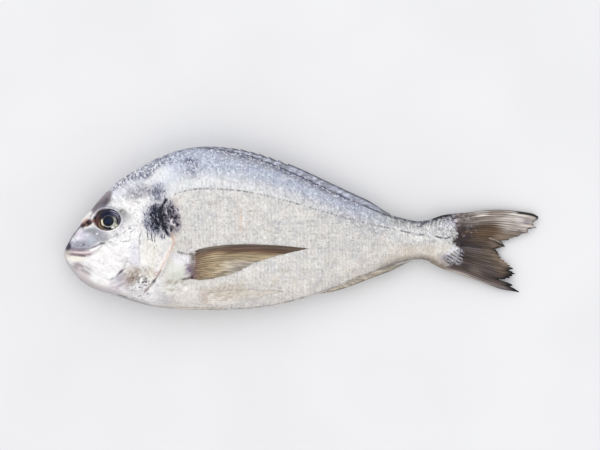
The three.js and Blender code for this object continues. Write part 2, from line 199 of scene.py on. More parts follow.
def sweep(start, share):
    """How far a section is swept forward to follow the rounded rear edge of the gill cover."""
    below = np.maximum(GILL_LEVEL - share, 0) / (1 + GILL_LEVEL)
    above = np.maximum(share - GILL_LEVEL, 0)
    forward = GILL_SWEEP_BELOW * below**1.5 + GILL_SWEEP_ABOVE * above**2
    return -bell(start, GILL_X, GILL_REACH) * forward


def skin(start, degrees):
    """The bare skin of the sections that start at x = start, at an angle that runs from the upper
    flank (0) over the back (90), the lower flank (180) and the belly (270)."""
    share, side = np.sin(np.radians(degrees)), np.cos(np.radians(degrees))
    x = start + sweep(start, share)
    back, belly = station(BACK, x), station(BELLY, x)
    y = (back + belly) / 2 + share * (back - belly) / 2
    z = station(MIDDLE, x) + np.sign(side) * station(HALF, x) * np.abs(side) ** keel(share)
    under_fin = spot(x, y, *FIN_BED, 0, 0.15) * (side < 0)
    z = np.where(side < 0, on_table(z, SKIN_FLOOR + FIN_BED_LIFT * under_fin), z)
    return np.stack([x, y, z], -1)


def facing(start, degrees):
    """The way the skin faces, outwards."""
    along = skin(start + 0.2, degrees) - skin(start - 0.2, degrees)
    around = skin(start, degrees + 0.3) - skin(start, degrees - 0.3)
    out = np.cross(along, around)
    return out / np.maximum(np.linalg.norm(out, axis=-1, keepdims=True), 1e-9)


def gill_mask(share):
    """1 where the gill cover's rear edge is free, from its top corner down to the throat."""
    return fall(share, GILL_TOP - 0.09, GILL_TOP + 0.09) * smooth(share, -0.72, -0.48)


def trunk_relief(start, share):
    """The rise of the gill cover and the hollow of the gill opening behind it."""
    cover = smooth(start, GILL_COVER_FROM, GILL_X) * GILL_COVER_RISE
    hollow = bell(np.maximum(start, GILL_X + 0.6), GILL_X + 0.6, 2.6) * GILL_DEPTH
    return np.where(start <= GILL_X, cover, -hollow) * gill_mask(share)


def eye_distance(x, y):
    """The distance from the eye's middle, 1 on its lids, which draw out to a point in front."""
    dx, dy = (x - EYE_X) / EYE_LONG, (y - EYE_Y) / EYE_HIGH
    towards_snout = bell(np.degrees(np.arctan2(dy, -dx)), -3, 30)
    return np.hypot(dx, dy) * (1 - 0.09 * towards_snout)


def flank_scallops(x, y):
    """The small scales that sit deep in the skin of the cheek and the gill cover."""
    size = 2.3
    row = np.floor(y / size)
    along = x / size + 0.5 * (row % 2)
    across = y / size - row
    return (along - np.floor(along)) * (1 - (2 * across - 1) ** 2)


def head_relief(x, y):
    """Relief of the head, seen from the side: eye socket, lips, nostrils, cheek and gill plates."""
    from_eye = eye_distance(x, y)
    above_mouth = y - through(MOUTH, x)
    lips = smooth(x, -2, 2) * fall(x, 17, 23)
    cheek = [(49, 17), (50.8, 10.5), (51, 0), (48.5, -10), (42, -18), (34, -22.5)]
    jaw = [(20, -16.5), (29, -21), (37, -25), (44, -29.5)]
    creased = smooth(x, 16, 24) * fall(x, 62, 70) * fall(y, 26, 36)
    creased *= smooth(from_eye, 1.15, 1.4)
    scaly = smooth(x, 34, 40) * fall(x, 66, 72) * smooth(y, -26, -16)
    relief = -3.4 * fall(from_eye, 0.92, 1.02)
    for height, *form in (
        (0.4 * bell(from_eye, 1.1, 0.06),),
        (0.8, (27, 32.5), (9, 3.2), 40, 0.4),
        (0.7, (14, 8), (11, 6.5), 15, 0.4),
        (0.6 * bell(above_mouth, 1.5, 0.8) * lips,),
        (0.7 * bell(above_mouth, -1.6, 1) * lips,),
        (0.5 * smooth(x, 14, 20) - 0.9, MOUTH, 0.6),
        (-0.55, [(9, 0), (15, 0.6), (21, 3), (26.5, 5.6)], 0.55),
        (-1.5, [(14.6, 16.6), (18.4, 19.2)], 0.75),
        (-0.9, (11.6, 14.6), (0.9, 0.7), 0, 0.4),
        (0.5, [(13.2, 20.4), (17.5, 22.6)], 1.2),
        (0.5, (41, -2), (9, 15), 12, 0.4),
        (-0.75, cheek, 1.1),
        (0.35, moved(cheek, -2, 0.4), 1.2),
        (-0.3, [(56, 17), (60, 4), (58, -9), (51, -20), (44, -25)], 0.7),
        (-0.5, jaw, 0.8),
        (-0.35, moved(jaw, 1, -3.4), 0.7),
        (0.16 * creased * noise(x, y, 1.5, 8, -38, 3) + 0.1 * creased * noise(x, y, 0.9, 9, 30, 2),),
        (-0.7, GILL_THROAT, 0.6),
        (0.1 * scaly * (flank_scallops(x, y) - 0.4),),
    ):
        relief = relief + drawn(x, y, height, form)
    return relief


def flesh_waves(x, y):
    """The faint unevenness of limp flesh under the skin."""
    return 0.16 * np.sin(x / 5.3 + y / 7.1 + 1.0) * np.sin(x / 9.7 - y / 4.9 + 2.0)


def arc_of(points):
    """The way along a row of points, in mm, from 0 at the first."""
    return np.concatenate([[0], np.cumsum(np.linalg.norm(np.diff(points, axis=0), axis=1))])


def add_mesh_piece(name):
    """The new primitive becomes a named piece with a mesh of the same name."""
    piece = bpy.context.object
    piece.name = piece.data.name = name
    return piece


def grid_piece(name, across, along):
    """A flat grid of across by along faces, with its UV map from 0 to 1."""
    bpy.ops.object.select_all(action="DESELECT")
    bpy.ops.mesh.primitive_grid_add(x_subdivisions=across, y_subdivisions=along, size=1)
    return add_mesh_piece(name)


def vertex_places(piece):
    flat = np.empty(len(piece.data.vertices) * 3)
    piece.data.vertices.foreach_get("co", flat)
    return flat.reshape(-1, 3)


def grid_places(piece, across, along):
    """Each vertex's column and row in a new grid."""
    places = vertex_places(piece)[:, :2] + 0.5
    return np.rint(places * [across, along]).astype(int).T


def close_shell():
    """The shell in hand has its seam merged and its holes filled. It faces outwards and is smooth."""
    bpy.ops.object.mode_set(mode="EDIT")
    bpy.ops.mesh.select_all(action="SELECT")
    bpy.ops.mesh.remove_doubles(threshold=1e-7)
    bpy.ops.mesh.select_all(action="DESELECT")
    bpy.ops.mesh.select_non_manifold()
    bpy.ops.mesh.fill_holes(sides=0)
    bpy.ops.mesh.select_all(action="SELECT")
    bpy.ops.mesh.normals_make_consistent(inside=False)
    bpy.ops.object.mode_set(mode="OBJECT")
    bpy.ops.object.shade_smooth()


def shape(piece, points):
    """Moves the vertices to points given in mm from the snout."""
    piece.data.vertices.foreach_set("co", (points * MM + SNOUT).ravel())
    piece.data.update()


def paint(piece, name, colours):
    """A colour attribute for each vertex, from rows of red, green and blue."""
    attribute = piece.data.attributes.new(name, "FLOAT_COLOR", "POINT")
    rows = np.concatenate([colours, np.ones((len(colours), 1))], axis=1)
    attribute.data.foreach_set("color", rows.astype(np.float32).ravel())


def srgb(code):
    """A colour given as rrggbb, in linear light."""
    c = np.array([int(code[i : i + 2], 16) for i in (0, 2, 4)]) / 255
    return np.where(c <= 0.04045, c / 12.92, ((c + 0.055) / 1.055) ** 2.4)


def one_colour(x, code):
    """The same colour at every place."""
    return np.broadcast_to(srgb(code), (len(x), 3))


def cover(colour, mask, over):
    """colour with another laid over it where the mask is 1."""
    return colour + (srgb(over) - colour) * np.clip(mask, 0, 1)[..., None]


def drawn(x, y, strength, form):
    """A strength by itself or in a form: the line and width of a stroke, or the middle, radii, turn
    and perhaps the softness of a spot."""
    if not form:
        return strength
    return strength * (stroke if len(form) == 2 else spot)(x, y, *form)


def lay(tint, x, y, marks):
    """The tint with marks laid over it in turn, each a strength, a colour and perhaps a form."""
    for strength, code, *form in marks:
        tint = cover(tint, drawn(x, y, strength, form), code)
    return tint


def strongest(x, y, marks):
    """The greatest of the marks at each place, each a strength and perhaps a form."""
    return np.maximum.reduce([drawn(x, y, strength, form) for strength, *form in marks])


TAIL_STRIPES = [
    [(252.4, -5.6), (258.6, -9.9)], [(254.2, -4.8), (260.8, -9.2)], [(256.2, -3.8), (263.4, -8.4)],
    [(258.4, -2.7), (265.2, -7)], [(260.4, -1.4), (266.6, -5.2)], [(262.6, -0.4), (267, -3.2)],
]
TAIL_ROOT_EDGE = [
    (-12, 255), (-9.5, 260.2), (-7.4, 264.4), (-4, 266), (0, 265.4), (2.4, 263), (3.8, 259.4),
    (5.4, 258.6), (7.6, 259.8), (9.3, 261.4), (11, 262.6), (14, 262.2), (19.5, 262), (25, 261.5),
]
LATERAL_LINE = [
    (68, 33.5), (74, 37.2), (80, 39.4), (91, 40.9), (106, 40.5), (122, 38.9), (145, 33.8),
    (170, 26.6), (195, 19.6), (219, 14.2), (237, 10.6), (249, 9), (256, 8.2), (262, 9.8),
]
LATERAL_DASHES = [
    [(224.6, 13), (230.7, 11.4)], [(236.4, 10.5), (239.6, 10)],
    [(247.9, 9.2), (250.8, 8.4), (255.6, 7.8), (257.8, 8.7), (259.9, 9.5)],
]
NAPE_MARKS = [  # how far the dark speckles of the nape reach down from its edge
    (31, 4.5), (41, 6), (50, 9), (56, 12), (64, 7.5), (73, 10), (81, 17), (92, 20), (125, 20),
]


def line_offset(x, y):
    """0.5 on the lateral line, and 1/8 more for each mm above it; 1 where there is none."""
    offset = 0.5 + (y - through(LATERAL_LINE, x)) / 8
    return np.where((x > 72.5) & (x < 222), np.clip(offset, 0, 1), 1)


def past_root(x, y):
    """0 on the scaly trunk and 1 on the tail fin, with a ragged edge between."""
    ragged = 1.8 * noise(x, y, 0.5, 51) + 1.2 * noise(x, y, 1.6, 52)
    return smooth(x - through(TAIL_ROOT_EDGE, y) + ragged, -1.4, 1.0)


def root_of_tail(tint, x, y):
    """The white scales and slanting dark stripes where the trunk runs out on the tail fin."""
    ragged = 0.8 + 0.6 * noise(x, y, 0.8, 67, -32, 2.5)
    fading = smooth(x, 251.5, 257) * (0.95 + 0.35 * noise(x, y, 1.1, 99))
    return lay(tint, x, y, [
        (0.8 * ragged, "857c92", (254.8, -5.8), (4.8, 3), -35),
        (ragged, "d5d3e0", (260, -5.2), (5.2, 3), -30, 0.5),
        (ragged, "e9eaf4", (261.4, -0.2), (3.8, 2.6), -20, 0.5),
        *((1.25 * fading, "15111b", stripe, 0.6) for stripe in TAIL_STRIPES),
    ])


def trunk_tint(x, y):
    """Blue-grey over the lateral line, silver-white and beige below it, dark along the back, and a painted
    shadow along the belly's edge.
    """
    line, back, belly = through(LATERAL_LINE, x), station(BACK, x), station(BELLY, x)
    over_line, depth, share = y - line, back - y, share_of(x, y)
    upper = np.clip(over_line / np.maximum(back - line, 1), -1, 1)
    clouds = (noise(x, y, 4.6, 55) + 0.5 * noise(x, y, 2.2, 56)) * fall(x, 198, 220)
    veil = noise(x, y, 2.4, 85, 90, 1.5)
    rosy = noise(x, y, 3.2, 3, 90, 2.5)
    net = np.maximum(noise(x, y, 0.9, 71, 90, 5), noise(x, y, 1.0, 72, -6, 5))
    dots = smooth(noise(x, y, 0.7, 94) + 0.4 * noise(x, y, 3.5, 95), 0.65, 0.95)
    streak = [(117.6, 28), (117.9, 18), (117.0, 7)]
    pores = [(94.6, 31.4), (97.6, 30.9), (100.4, 31.1), (108.6, 26.6), (112.8, 19.6)]
    streaks = 0.5 + 0.5 * np.sin(2 * np.pi * x / 1.45 + 0.8 * noise(x, y, 3, 61))
    comb = noise(x, y, 0.8, 58, 95, 3.5)
    on_root = smooth(x, 202, 220)
    dense = on_root * (0.5 + 0.5 * smooth(x, 222, 242))
    specks = smooth(noise(x, y, 0.45, 83, 90, 2.2), 0.2, 0.6)
    dusk = smooth(x, 242, 256) * smooth(y, 7, 15)
    steep = fall(x, 60, 90)
    wide = 1.4 + np.maximum(steep, on_root * fall(x, 246, 256))
    rim = fall(depth, 0.6 + 0.6 * steep, wide)
    lined = 0.6 + 0.5 * noise(x, y, 0.7, 74, 90, 4)
    olive = smooth(noise(x, y, 0.8, 75) + 0.5 * noise(x, y, 1.8, 76), 0.2, 0.7)
    beige = spot(x, y, (109, -28), (14, 5.4), 4, 0.5)
    from_belly = y - belly
    # Along the belly's edge a dark line: mostly a painted contact shadow, partly the edge's own dark.
    belly_edge_shadow = fall(from_belly, 0.5, 1.2 + 0.6 * smooth(x, 95, 125))
    belly_edge_shadow = belly_edge_shadow * smooth(from_belly, 0.0, 0.5) * (0.55 + 0.35 * noise(x, y, 1.7, 100))
    return lay(one_colour(x, "dfdcd8"), x, y, [
        (0.8 * smooth(over_line, -3, 3), "e8eaee"),
        (0.85 * smooth(upper, 0.15, 0.6), "d0d9ec"),
        (0.35 * smooth(upper, 0.8, 1), "b4bdd4"),
        (0.65 * span(x, 104, 190, 8) * fall(depth, 3, 7), "a4a3ac"),
        (0.95 * smooth(x, 198, 222) * smooth(upper, 0.1, 0.6), "e2e4de"),
        (0.5 * fall(share, -0.9, -0.45), "dcd3ca"),
        (0.85 * smooth(x, 204, 224) * span(y, 4, 17, 3.5), "f6f4ee"),
        (0.6 * smooth(x, 205, 232) * fall(y, -1, 7), "e6ded2"),
        (0.75 * smooth(x, 204, 220) * fall(y, -6.5, -1), "c4baae"),
        (0.6 * smooth(x, 232, 246) * fall(share, -0.95, -0.6), "a5937c"),
        (0.45 * smooth(clouds, 0, 1) * fall(upper, 0.2, 0.6), "c3c5c8"),
        (0.3 * smooth(-clouds, 0.1, 1) * fall(upper, 0.2, 0.6), "f2eee8"),
        (0.3 * smooth(noise(x, y, 6, 57), 0.2, 0.9) * span(over_line, -45, -16, 5), "d9dac6"),
        (0.3 * smooth(veil, 0.3, 0.9) * span(over_line, -24, 0, 5) * (x < 225), "b9b9bb"),
        (0.25 * smooth(rosy, 0.3, 0.9) * span(over_line, -30, -4, 4), "e0c8bb"),
        (0.42 * smooth(net, 0.45, 0.8) * span(x, 78, 215, 6) * (over_line < 8), "acabae"),
        (0.6 * dots * span(x, 80, 215, 6) * span(over_line, -26, -1, 3), "96969a"),
        (0.6 * stroke(x, y, streak, 0.5) * (1 + noise(x, y, 1.2, 73, 90, 3)), "dcb394"),
        *((0.6, "8d8b8d", pore, (0.9, 0.6), 0) for pore in pores),
        (0.35 * smooth(noise(x, y, 7, 4), 0.1, 0.8) * fall(share, -0.6, 0), "cbbfae"),
        # the narrow trunk in front of the tail: streaks down its sides, and a black comb on its back
        (0.4 * streaks * span(x, 222, 247, 4) * span(y, -7, 5, 2), "c2ae96"),
        (0.9 * dense * smooth(comb, -0.4, 0.2) * fall(depth, 2, 6.6), "38373c"),
        (0.5 * on_root * specks * fall(depth, 3, 9), "626266"),
        (0.9 * dusk * smooth(noise(x, y, 0.42, 96, 80, 1.6), 0.05, 0.45), "2f2c35"),
        (0.6, "d9d4e4", (256.4, 17.4), (5, 2), 12),
        ((0.48 + 0.42 * smooth(x, 84, 100)) * rim * smooth(x, 34, 42), "37343f"),
        *((1.15, "1c1a20", dash, 0.48) for dash in LATERAL_DASHES),
        # the belly
        (lined, "b7b8c2", (62, -31.5), (11, 4.6), -12),
        (0.6 * olive, "9c9a84", (74, -25), (9, 4), 10),
        (0.7 * smooth(-olive, -0.2, 0), "f6f5f0", (74, -26), (9, 4), 10),
        (0.5, "f0ebe6", (82, -30.5), (8.5, 6), 0),
        (0.5, "c9b3ae", (93.2, -30.5), (2.4, 5.4), 0),
        (0.65 * beige, "cabfae"),
        (0.5 * beige * smooth(noise(x, y, 0.9, 59), 0.2, 0.7), "a3927c"),
        # painted shade on the narrow trunk, darker towards its lower edge
        (0.8 * smooth(x, 204, 216) * fall(from_belly, 0, 5), "857c72"),
        (0.5 * span(from_belly, 1.2, 2.2, 0.4) * span(x, 72, 108, 6), "a58f77"),
        # the dark line along the belly's edge, mostly a painted contact shadow
        (belly_edge_shadow * smooth(x, 36, 80), "5d554b"),
    ])


def head_tint(tint, x, y):
    """Head skin creased like foil in painted light and shade, the bright nape, and painted shade at the
    chin.
    """
    share, from_chin = share_of(x, y), y - station(BELLY, x)
    head = fall(x + 0.25 * np.abs(y + 5), 62, 74)
    # foil sets the painted highlights and painted shade of the crumpled silver skin
    foil = noise(x, y, 1.1, 5, -38, 3.5) + 0.7 * noise(x, y, 0.7, 6, 25, 2) + 0.7 * noise(x, y, 4, 7)
    plain = 1 - 0.6 * fall(x, 30, 46) * fall(y, 0, 8)
    # the dark lines of the creases, painted as shade
    crease_shade = np.abs(noise(x, y, 1.7, 12, -42, 3.2) + 0.5 * noise(x, y, 0.8, 13, 20, 2))
    flecks = noise(x, y, 0.9, 69, 20, 1.8) + 0.5 * noise(x, y, 2.8, 70)
    worn = 0.75 + 0.4 * noise(x, y, 1.2, 92, -35, 2.5)
    # painted shade towards the chin's lower edge
    shaded = fall(from_chin, 0.2, 5.6) * fall(x, 50, 66)
    # a dark line at the chin's edge, mostly a painted contact shadow
    chin_edge_shadow = stroke(x, y, [(35.6, -29.9), (38.4, -30.8), (41.0, -31.8)], 0.5)
    return lay(tint, x, y, [
        (0.85, "f4f4f8", (53, 47), (16, 7), 38, 0.5),
        (0.75, "f8f9fc", (64, 50), (8, 5), 20),
        (head * fall(share, 0.5, 0.8), "f6f4f3"),
        (head * smooth(share, 0.55, 0.85), "e6e7f0"),
        (0.7, "c5c0c0", (50, 39), (8.5, 4.4), 15, 0.5),
        # painted highlights on the crumpled silver skin of the head
        (head * smooth(from_chin, 4, 10) * smooth(foil, 0, 0.8), "ffffff"),
        # painted shade between them, darker in the creases
        (0.5 * plain * head * smooth(-foil, 0.3, 1.3), "a9a6b2"),
        (0.6 * plain * head * fall(crease_shade, 0, 0.12), "84818f"),
        (0.7 * plain * head * smooth(flecks, 0.75, 1.1), "6d6b78"),
        (worn, "aea6a9", (11.6, -12.2), (7.4, 3.6), -22),
        (0.8 * worn, "988a8f", (8.2, -11.8), (3.2, 2.6), -30, 0.7),
        (0.7, "c9bcbc", (14, -19.5), (8, 2.4), -42),
        (0.6, "c6bdbc", (27, -26.6), (12, 2.6), -20),
        # painted shade where the chin turns down towards the table
        (0.9 * shaded, "a8a3a4"),
        # a dark line along the lower edge of the head, mostly a painted contact shadow
        (0.5 * span(from_chin, 0.4, 1.3, 0.3) * span(x, 40, 72, 5), "77716c"),
        (0.7 * chin_edge_shadow * smooth(from_chin, 0.1, 0.6), "4d4c44"),
    ])


def face_tint(tint, x, y):
    """Bare skin before the eye: grey with a painted silver sheen and edge shadow, brown crown, two red
    nostrils.
    """
    bony = spot(x, y, (13.5, 7.4), (14.5, 6.2), 22, 0.22)
    grain = noise(x, y, 1.2, 14, 25, 1.6) + 0.7 * noise(x, y, 0.6, 68, -20, 1.3)
    low = bony * fall(y, 4.5, 7.0)
    bright = (0.85 + 0.4 * grain) * bony
    edge = [(4, 1.3), (10, 0.4), (16, 0.9), (20, 2.3), (24.5, 4.1)]
    patchy = noise(x, y, 1.6, 11, 40, 1.6)
    return lay(tint, x, y, [
        (0.97 * bony, "bbbbc6"),
        (0.6 * bony * smooth(-grain, 0, 1.1), "9494a4"),
        (0.55 * bony, "94909f", (12.4, 3.4), (8.4, 2.6), 4),
        (0.9 * low * smooth(grain, 0.45, 0.9), "595a70"),
        (0.6 * low * smooth(-grain, 0.6, 1.1), "c0c4d2"),
        (0.7 * bony, "7f8688", (18.6, 12.2), (4.8, 2.2), -12),
        (0.65 + 0.4 * grain, "92929a", (24.6, 8.2), (5, 3.4), 0),
        (0.5 * bony, "c0cad8", (18, 6.4), (2.8, 2.4), 20),
        # painted highlights on the silvery bone before the eye
        (bright, "dcd9e8", (12.4, 8.8), (5.2, 2), 18),
        (1.1 * bright, "f6f4fb", (7.4, 7.6), (2.6, 1.6), 30),
        (bright, "efe4ee", (9.8, 11.2), (2.4, 1.2), 35),
        # a painted shadow under the bone's lower edge, darkest at the mouth's corner
        (0.85 + 0.2 * grain, "655f72", edge, 0.7),
        (0.95, "33343f", [(24, 4.3), (26.4, 4.6)], 0.6),
        (0.6 + 0.4 * grain, "9b9aa4", (31.5, 9.6), (5, 1.6), 15),
        (0.9, "f3eef4", (21.8, 10.8), (0.8, 0.6), 0, 0.5),
        (0.97, "7f737b", (24.8, 32.2), (9.6, 4.4), 49, 0.2),
        (0.85 + 0.3 * patchy, "625a60", (21.2, 27.8), (4.8, 2), 36, 0.5),
        (0.75 + 0.4 * patchy, "565058", (28, 32.2), (4.2, 2), 20, 0.5),
        (0.8 + 0.3 * patchy, "605a62", (24, 29.4), (3.6, 1.3), 24, 0.5),
        (0.5 + 0.4 * patchy, "61544f", (20.5, 27.4), (3.4, 1.4), 28),
        (0.95, "f4efe8", (14.3, 22.2), (4.8, 2.2), 42, 0.3),
        (0.9, "6a403a", (14, 17.8), (4.3, 2.3), 28, 0.3),
        (0.97, "22100f", (15.8, 18.8), (2.2, 1.2), 32, 0.4),
        (0.95, "34191a", (12, 16.4), (1.7, 1), 30, 0.4),
        # painted highlights on the rims of the nostrils
        (0.8, "d9b4a8", (13.6, 19.8), (2.4, 0.5), 35, 0.5),
        (0.8, "f0dcd6", (15.5, 16.2), (2.8, 0.5), 25, 0.5),
        (0.9, "3f3a48", [(10.8, 16.6), (7.6, 12.4), (4.4, 8), (1.8, 4)], 0.7),
        (0.85, "4a4553", [(9, 18.2), (5.2, 12.8), (2, 7.6)], 0.6),
        (0.97, "2b283c", (2, 2), (2, 3.4), -14, 0.4),
    ])


def mouth_tint(tint, x, y):
    """Thin lips of pale pink skin over a brown gape, a white upper jaw and a cream lower lip."""
    fading = 1 - 0.6 * smooth(x, 11, 18)
    return lay(tint, x, y, [
        (0.55, "b3a0a4", (8.6, -2), (8.4, 2.4), -2),
        (0.6, "d3c3b8", (2.2, -3.2), (2.2, 2.2), 0),
        (0.9 * fading, "93808b", [(4.4, 0.1), (10, -0.4), (17, -0.4)], 0.8),
        (0.95, "f4e2e3", [(6, -1.6), (12, -1.8), (18, -1.5), (20, -0.9)], 0.4),
        (0.9, "a68b90", [(4.6, -2.4), (10, -2.7), (17, -2.7)], 0.5),
        (0.9, "96858a", [(3.4, -3), (8, -3.7), (13.4, -3.9)], 0.6),
        (0.6, "75646a", [(9.6, -3.7), (13, -3.9)], 0.55),
        (0.75, "fffdfc", [(17, -0.4), (20.5, 0.9), (24.8, 3.1)], 0.7),
        (0.7, "9a8a90", [(15.2, -2.8), (19.4, -1.2), (23.4, 1.6), (25, 3.2)], 0.35),
        (0.6, "b8a8a8", [(14.8, -3.8), (20, -2.4), (23.6, 0.2)], 0.35),
        (0.9, "f7f2e6", (7.2, -5.8), (6, 1.5), -4, 0.5),
    ])


def eye_rim_tint(tint, x, y):
    """A thin white rim round the eye, a painted reflection on its upper lid, a blue-black bruise over it, a
    red front corner.
    """
    from_eye = eye_distance(x, y)
    below = fall(y - EYE_Y, -4, 2)
    behind = smooth(x - EYE_X + 0.4 * (y - EYE_Y), 3, 8)
    shadow = [(17.4, 22.0), (20.0, 25.8), (24.4, 28.9)]
    thin = 0.045 - 0.018 * smooth(y - EYE_Y, 0, 3)
    bright = 0.95 - 0.3 * smooth(y - EYE_Y, 2, 6)
    above = smooth(y - EYE_Y + 0.3 * (x - EYE_X), 3, 7)
    bruise = np.maximum(y - EYE_Y, 0) + 0.6 * np.maximum(x - EYE_X, 0)
    dull = 0.8 + 0.4 * noise(x, y, 0.9, 84)
    return lay(tint, x, y, [
        (0.8 + 0.3 * noise(x, y, 0.9, 84), "8d8392", shadow, 1),
        (bright * bell(from_eye, 1.07, thin) * (1 - 0.85 * behind), "fbf1f2"),
        (0.45 * bell(from_eye, 1.22, 0.05) * below, "8d8f9c"),
        # a painted reflection of light along the upper lid
        (0.7 * bell(from_eye, 1.07, 0.04) * above, "c2c9df"),
        (0.7 * bell(from_eye, 1.2, 0.07) * smooth(bruise, 5, 9), "5d5f72"),
        (0.95 * fall(from_eye, 0.97, 1.03), "2a1a1a"),
        (0.9, "8a5450", (18.4, 19.6), (0.9, 1.1), 0),
        (0.75 * dull, "a8a6b2", (38.4, 19.4), (1.6, 6), -8),
        (dull, "737570", (39, 25.4), (3.4, 2.2), -35, 0.7),
        (0.6 * dull, "a3a3a6", (42, 21.4), (4.4, 3.2), 0),
    ])


def cheek_tint(tint, x, y):
    """The gill cover: creases, a brown stain, a painted highlight by its rear edge, small glittering scales
    at its lower corner.
    """
    broken = 0.75 + 0.35 * noise(x, y, 1.6, 63, 90, 2)
    line = stroke(x, y, [(51.6, 13.4), (50.0, 9.4), (49.9, -0.5), (49.8, -8.8)], 0.42)
    dots = smooth(noise(x, y, 0.8, 77) + 0.4 * noise(x, y, 2.2, 78), 0.55, 0.85)
    uneven = 0.55 + 0.6 * noise(x, y, 1.3, 97)
    fine = noise(x, y, 0.9, 64, 28, 3)
    lilac = spot(x, y, (38, -22.6), (9.5, 4.6), 30)
    folds = [
        [(45, -11.4), (50, -12.8), (55, -14.8)], [(51.4, -11.2), (54.8, -14), (57, -18)],
        [(55.6, -10.6), (58.4, -14), (59.8, -18)],
    ]
    stain = noise(x, y, 0.8, 15, 30, 1.5) + 0.7 * noise(x, y, 0.5, 16)
    scales = flank_scallops(x * 1.35, y * 1.35)
    small = spot(x, y, (49.0, -25.6), (7.5, 4.2), 24, 0.5)
    glitter = noise(x, y, 0.75, 65) + 0.4 * noise(x, y, 1.5, 66)
    marks = spot(x, y, (52.6, -21.6), (4.4, 4.2), 0)
    row = spot(x, y, (47.6, -25.2), (6.4, 1.8), 16)
    fine_glitter = noise(x, y, 0.55, 93)
    edge = [
        (70.6, 11), (71.9, 9), (73.2, 6), (73.3, 3.8), (71.4, 1), (69.3, -2.5), (68, -6.1),
        (65.9, -9.4), (64.1, -13.6),
    ]
    ring = np.hypot(x - 61.4, y + 15.6)
    return lay(tint, x, y, [
        (broken * line * (0.55 + 0.4 * smooth(y, 2, 9)), "6e6a7c"),
        (0.5, "dad6ea", (46.8, -3.5), (3, 7.6), 0),
        (0.65, "f6f2e6", (57.6, -0.5), (6.4, 11), 5, 0.5),
        (0.6 * dots, "6a6870", (58, 5), (7, 8), 0),
        (uneven, "605a68", [(39.8, -12), (35.6, -16.8), (30.8, -19.8)], 0.8),
        (0.9, "57535f", (37.4, -14.6), (3, 0.8), 42, 0.5),
        (0.7, "aaa2b8", (37.4, -18.4), (4.2, 2.2), 42),
        (lilac * (0.65 + 0.45 * fine), "bfb4bf"),
        (0.6, "e2dcca", (57, -16.5), (3.4, 6), -14),
        *((0.5 * broken, "77706b", fold, 0.4) for fold in folds),
        (0.66 + 0.4 * stain, "9c866c", (46.2, -17.4), (7, 6), 25, 0.8),
        (0.62 + 0.4 * stain, "6b5443", (46.4, -19.4), (4.4, 3.2), 30, 0.8),
        (0.6 * small, "b9b3b2"),
        (0.9 * small * smooth(scales, 0.45, 0.75), "f6f2ef"),
        (marks * smooth(glitter, 0.2, 0.55), "413d4a"),
        (marks * smooth(-glitter, 0.1, 0.4), "ffffff"),
        (0.9 * row * smooth(-fine_glitter, 0.1, 0.4), "ffffff"),
        (0.7 * row * smooth(fine_glitter, 0.2, 0.5), "8a828c"),
        # a painted highlight just inside the gill cover's rear edge
        (0.8, "fdf6f2", moved(edge, -1.3, 0), 1.1),
        (0.7 + 0.3 * broken, "ead3c6", edge, 0.8),
        (0.6 * broken, "b88c66", [(70.8, 11.4), (72.8, 7.2), (72.8, 3.8)], 0.8),
        (0.9 * broken, "6d4f43", GILL_THROAT, 0.75),
        (0.9, "3f2c2a", (59.6, -20.8), (1.5, 1), 50),
        (0.7 * bell(ring, 1.2, 0.45), "c08f80"),
    ])


def on_fin_foot(x, y):
    """1 on the brown skin that the rays of the side fin spring from."""
    front = 83.8 + 0.8 * fall(y, -13, -9) + 0.6 * noise(x, y, 0.9, 98)
    return span(x, front, 92, 0.7) * span(y, -19.2, -1.6, 0.8)


def fin_foot_tint(tint, x, y):
    """The smooth green-white pad before the side fin, painted lit and shaded, violet skin at its foot,
    painted shade in slit and notch.
    """
    soft = 0.9 + 0.15 * noise(x, y, 1.6, 86)
    violet = noise(x, y, 0.55, 17, 96, 5) + 0.6 * noise(x, y, 1.3, 87, 80, 2)
    arcs = np.abs(np.hypot(x - 78, y + 0.5) % 1.6 - 0.8)
    moss = smooth(noise(x, y, 0.8, 88) + 0.4 * noise(x, y, 1.8, 89), -0.4, 0.4)
    return lay(tint, x, y, [
        (soft, "d9dad2", (PAD_X, PAD_Y), (PAD_LONG, PAD_HIGH), 0, 0.5),
        # painted light on the upper front of the raised pad and painted shade on its lower back
        (0.6, "e6e8e0", (PAD_X - 1.5, PAD_Y + 2), (4, 3), 20, 0.7),
        (0.45, "babfb0", (PAD_X + 2, PAD_Y - 3), (4.5, 2.4), 0, 0.7),
        (0.7, "f1eef5", (76.6, -5.6), (6, 3.8), -15, 0.5),
        (0.9 + 0.5 * violet, "9c8797", (85, -13.2), (4.2, 4.9), 0, 0.35),
        (0.75 * smooth(violet, -0.25, 0.4), "59446b", (82.6, -13.2), (2.2, 4.6), 0),
        (0.95, "f0eef3", (82.6, -6), (4.8, 2.8), -20, 0.4),
        # painted shade in the slit over the pad
        (0.95, "37302f", [(75.6, -1.2), (78.6, -2)], 0.6),
        (0.85, "5b5250", [(78.6, -2), (82, -2.8), (85, -2.6)], 0.5),
        # painted shade in the notch under the side fin's foot
        (0.95, "3d2329", [(78.4, -19.4), (82, -19), (87, -17)], 0.9),
        ((0.9 + 0.2 * violet) * on_fin_foot(x, y), "75675e"),
        (0.6 * on_fin_foot(x, y) * fall(y, -14, -9), "6c5658"),
        (0.6 * fall(arcs, 0.1, 0.35), "a08a90", (82.5, 3), (3.8, 3.8), 0, 0.4),
        (0.75 * moss, "969078", (74.5, -21.6), (7, 2), -5),
    ])


TORN = (73.0, 18.8)


def torn_ring(x, y):
    """A white crescent of torn skin in the blotch, open towards the back and the tail."""
    dx, dy = x - TORN[0], y - TORN[1]
    return bell(np.hypot(dx, dy), 1.9, 0.6) * smooth(-dx - 0.5 * dy, -1.0, 0.8)


